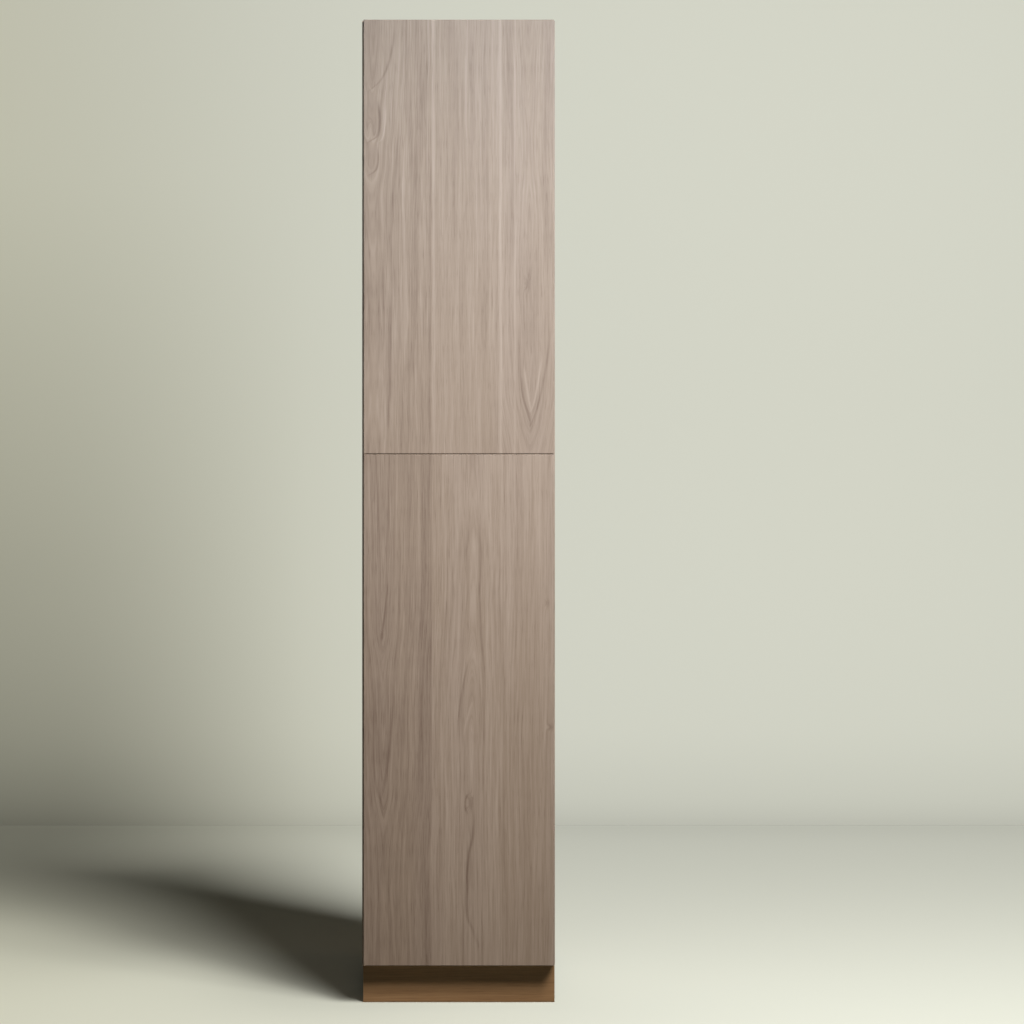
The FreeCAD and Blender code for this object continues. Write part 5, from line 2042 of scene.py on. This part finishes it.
    def world(self) -> None:
        """Weak warm light all round, and a pale surround for the camera and for gloss."""
        world = bpy.data.worlds.new("studio_world")
        bpy.context.scene.world = world
        world.use_nodes = True
        graph = Tree(world.node_tree)
        background = graph.node("ShaderNodeBackground")
        output = graph.node("ShaderNodeOutputWorld")
        graph.feed(background.inputs["Color"], graph.tint(graph.seen(), self.ambient, self.surround))
        graph.feed(output.inputs["Surface"], background.outputs[0])

    def camera(self) -> None:
        """Sets up the level camera in front of the cupboard."""
        data = bpy.data.cameras.new("studio_camera")
        data.lens = self.lens
        holder = bpy.data.objects.new("studio_camera", data)
        bpy.context.scene.collection.objects.link(holder)
        holder.location = self.camera_place
        holder.rotation_euler = (math.pi / 2, 0.0, 0.0)
        bpy.context.scene.camera = holder


# The cupboard's own boards

EDGE = -9.0  # The first leaf starts beyond any board's edge.

UPPER_DECOR = Walnut(
    "walnut_upper_door", Grain.FRONT, (1.14, 2.05),
    leaves=(
        Leaf(EDGE, -0.487, ((1.14, 0.033), (1.60, 0.032), (1.69, 0.030), (1.75, 0.0245), (1.785, 0.0235),
                            (1.815, 0.0185), (1.885, 0.0175), (1.925, 0.0125), (2.05, 0.009)),
             0.0, -0.03, 2.0, 1.4),
        Leaf(-0.361, -0.021, ((1.14, 0.02), (2.05, 0.03)), 3.0, 0.0),
        Leaf(-0.223, -0.163, ((1.14, 0.038), (1.22, 0.022), (1.28, 0.010), (1.36, 0.006), (1.60, 0.006),
                              (1.78, 0.014), (1.95, 0.009), (2.05, 0.006)), 7.0, -0.02)),
    knots=(
        Knot(-0.167, 1.497, 0.006, 0.014, 0.008, 0.20), Knot(-0.378, 1.452, 0.0012, 0.024, 0.0, 0.34),
        Knot(-0.241, 1.459, 0.0011, 0.020, 0.0, 0.28), Knot(-0.489, 1.815, 0.005, 0.022, 0.005, 0.06)),
    stripes=(
        Stripe(-0.363, 0.0035, 0.28), Stripe(-0.224, 0.0035, 0.28), Stripe(-0.194, 0.002, 0.16),
        Stripe(-0.400, 0.014, -0.06), Stripe(-0.505, 0.012, -0.05), Stripe(-0.436, 0.010, 0.05)),
    veins=(
        Vein(((1.895, -0.497), (1.903, -0.487), (1.916, -0.473), (1.935, -0.462), (1.965, -0.452),
              (2.010, -0.444)), 0.0024, 0.22),
        Vein(((1.789, -0.498), (1.795, -0.489), (1.804, -0.478), (1.827, -0.474), (1.870, -0.477)),
             0.0026, 0.40),
        Vein(((1.722, -0.497), (1.727, -0.487), (1.738, -0.479), (1.772, -0.477)), 0.0022, 0.34),
        Vein(((1.790, -0.478), (1.805, -0.466), (1.860, -0.461)), 0.0018, -0.24),
        Vein(((1.150, -0.459), (1.400, -0.450), (1.600, -0.449), (1.750, -0.440), (1.850, -0.432)),
             0.0026, 0.18),
        Vein(((1.205, -0.161), (1.235, -0.169), (1.290, -0.181), (1.400, -0.187)), 0.0026, 0.20),
        Vein(((1.205, -0.161), (1.235, -0.150), (1.290, -0.136), (1.400, -0.120)), 0.0026, 0.20),
        Vein(((1.232, -0.160), (1.262, -0.166), (1.320, -0.174)), 0.0022, -0.28),
        Vein(((1.232, -0.160), (1.262, -0.152), (1.340, -0.139)), 0.0022, -0.28)),
    seed=11.0, lean=1.5, contrast=0.74)

LOWER_DECOR = Walnut(
    "walnut_lower_door", Grain.FRONT, (0.08, 1.15),
    leaves=(
        Leaf(EDGE, -0.468, ((0.08, 0.040), (0.36, 0.037), (0.46, 0.026), (0.52, 0.024), (0.70, 0.020),
                            (0.80, 0.010), (0.90, 0.008), (1.15, 0.006)), 1.0, -0.08, 1.35, 1.15),
        Leaf(-0.366, -0.281, ((0.08, 0.002), (0.38, 0.003), (0.50, 0.004), (0.57, 0.0055), (0.63, 0.010),
                              (0.70, 0.0155), (0.76, 0.020), (0.85, 0.022), (1.15, 0.028)),
             5.0, 0.02, 1.8, 1.25),
        Leaf(-0.211, -0.061, ((0.08, 0.02), (1.15, 0.03)), 9.0, 0.07)),
    knots=(
        Knot(-0.288, 0.424, 0.008, 0.014, 0.012, 0.16), Knot(-0.127, 0.837, 0.005, 0.008, 0.006, 0.2),
        Knot(-0.119, 0.580, 0.006, 0.007, 0.006, 0.2), Knot(-0.469, 0.770, 0.003, 0.010, 0.004, 0.16)),
    stripes=(
        Stripe(-0.480, 0.040, -0.07), Stripe(-0.381, 0.011, -0.16), Stripe(-0.250, 0.040, 0.05),
        Stripe(-0.185, 0.010, -0.06)),
    veins=(
        Vein(((0.130, -0.270), (0.160, -0.281), (0.216, -0.294), (0.260, -0.291), (0.308, -0.290),
              (0.377, -0.280), (0.415, -0.284)), 0.0036, 0.28),
        Vein(((0.250, -0.296), (0.290, -0.292), (0.330, -0.289)), 0.0018, 0.24),
        Vein(((0.402, -0.293), (0.420, -0.297), (0.436, -0.294), (0.443, -0.286)), 0.0024, 0.36),
        Vein(((0.455, -0.262), (0.538, -0.257), (0.676, -0.257), (0.790, -0.265), (1.000, -0.266)),
             0.0026, 0.20),
        Vein(((0.550, -0.314), (0.624, -0.308), (0.690, -0.296), (0.742, -0.280)), 0.0026, 0.20),
        Vein(((0.565, -0.300), (0.600, -0.292), (0.630, -0.282)), 0.0022, -0.18),
        Vein(((0.430, -0.472), (0.470, -0.482), (0.535, -0.486), (0.640, -0.484)), 0.0026, 0.20),
        Vein(((0.430, -0.472), (0.470, -0.462), (0.535, -0.454), (0.640, -0.444)), 0.0026, 0.20),
        Vein(((0.760, -0.470), (0.790, -0.466), (0.880, -0.456)), 0.0024, 0.22)),
    seed=23.0, lean=1.2, contrast=0.86)


def side_decor(name: str, seed: float) -> Walnut:
    """Walnut for a cupboard side, laid in four leaves.

    Args:
        name: The finish's name.
        seed: Which slice of the noise it is.

    Returns:
        The finish.
    """
    leaves = (
        Leaf(EDGE, -0.22, ((0.08, 0.006), (0.40, 0.020), (0.85, 0.045), (1.40, 0.020), (2.05, 0.008)),
             seed + 1.0),
        Leaf(-0.13, 0.16, ((0.08, 0.02), (2.05, 0.04)), seed + 2.0, 0.02),
        Leaf(0.02, 0.09, ((0.08, 0.050), (0.60, 0.022), (1.05, 0.006), (1.50, 0.020), (2.05, 0.045)),
             seed + 5.0),
        Leaf(0.17, 0.36, ((0.08, 0.03), (2.05, 0.02)), seed + 8.0, 0.03))
    stripes = (Stripe(-0.13, 0.003, 0.16), Stripe(0.17, 0.003, 0.14))
    return Walnut(name, Grain.SIDE, (0.08, 2.05), leaves, stripes=stripes, seed=seed, lean=0.6)


def level_decor(name: str, seed: float, colours: dict[str, Colour]) -> Walnut:
    """Straight-grained decor that runs along a level board.

    Args:
        name: The finish's name.
        seed: Which slice of the noise it is.
        colours: Its colours, where they differ.

    Returns:
        The finish.
    """
    leaves = (Leaf(EDGE, 0.9, ((-0.2, 0.03), (0.2, 0.05)), seed),)
    return Walnut(name, Grain.LEVEL, (-0.2, 0.2), leaves, seed=seed, lean=0.2, contrast=1.1, **colours)


def upright_decor(name: str, seed: float) -> Walnut:
    """Straight-grained decor that runs up narrow bands.

    Args:
        name: The finish's name.
        seed: Which slice of the noise it is.

    Returns:
        The finish.
    """
    leaves = (Leaf(EDGE, 0.9, ((0.0, 0.03), (2.1, 0.05)), seed),)
    return Walnut(name, Grain.FRONT, (0.0, 2.1), leaves, seed=seed, lean=0.2)


# The plinth's walnut in its own warmer browns, with some painted shade of the recess under the doors in them.
PLINTH_COLOURS_WITH_PAINTED_SHADE = {"dark": srgb(141, 108, 76), "brown": srgb(177, 142, 103), "rose": srgb(184, 145, 105),
                  "pale": srgb(202, 165, 124)}


def assemblies() -> list[SubAssembly]:
    """The cupboard's sub-assemblies in building order.

    Returns:
        The sub-assemblies.
    """
    return [
        Carcass(left_decor=side_decor("walnut_left_side", 31.0),
                right_decor=side_decor("walnut_right_side", 47.0),
                top_decor=level_decor("walnut_top", 53.0, {}),
                edge=upright_decor("walnut_front_bands", 59.0)),
        Back(),
        KnockDownFittings(),
        BroomRack(),
        Screws(node="broom_clip_screws", way=Way.FRONT),
        Hinges(),
        Screws(node="hinge_plate_screws", way=Way.RIGHT, pitch=1.6 * MM),
        Screws(node="hinge_arm_screws", way=Way.RIGHT, pitch=0.9 * MM),
        Screws(node="upper_hinge_cup_screws", way=Way.BACK, body=Body.UPPER_DOOR),
        Screws(node="lower_hinge_cup_screws", way=Way.BACK, body=Body.LOWER_DOOR),
        Latches(),
        Screws(node="latch_housing_screws", way=Way.LEFT),
        Legs(),
        Screws(node="leg_socket_screws", way=Way.DOWN),
        Plinth(decor=level_decor("plinth_walnut_painted_shade", 67.0, PLINTH_COLOURS_WITH_PAINTED_SHADE)),
        Screws(node="plinth_clip_screws", way=Way.BACK, body=Body.PLINTH),
        Door(side="upper", decor=UPPER_DECOR),
        Door(side="lower", decor=LOWER_DECOR),
    ]


def main() -> None:
    """Builds every sub-assembly and the studio, and logs each piece."""
    logging.basicConfig(level=logging.INFO, format="%(message)s")
    total = 0
    for assembly in assemblies():
        assembly.build()
        total += assembly.count
    Studio().build()
    LOG.info("%d pieces", total)


if __name__ == "__main__":
    main()
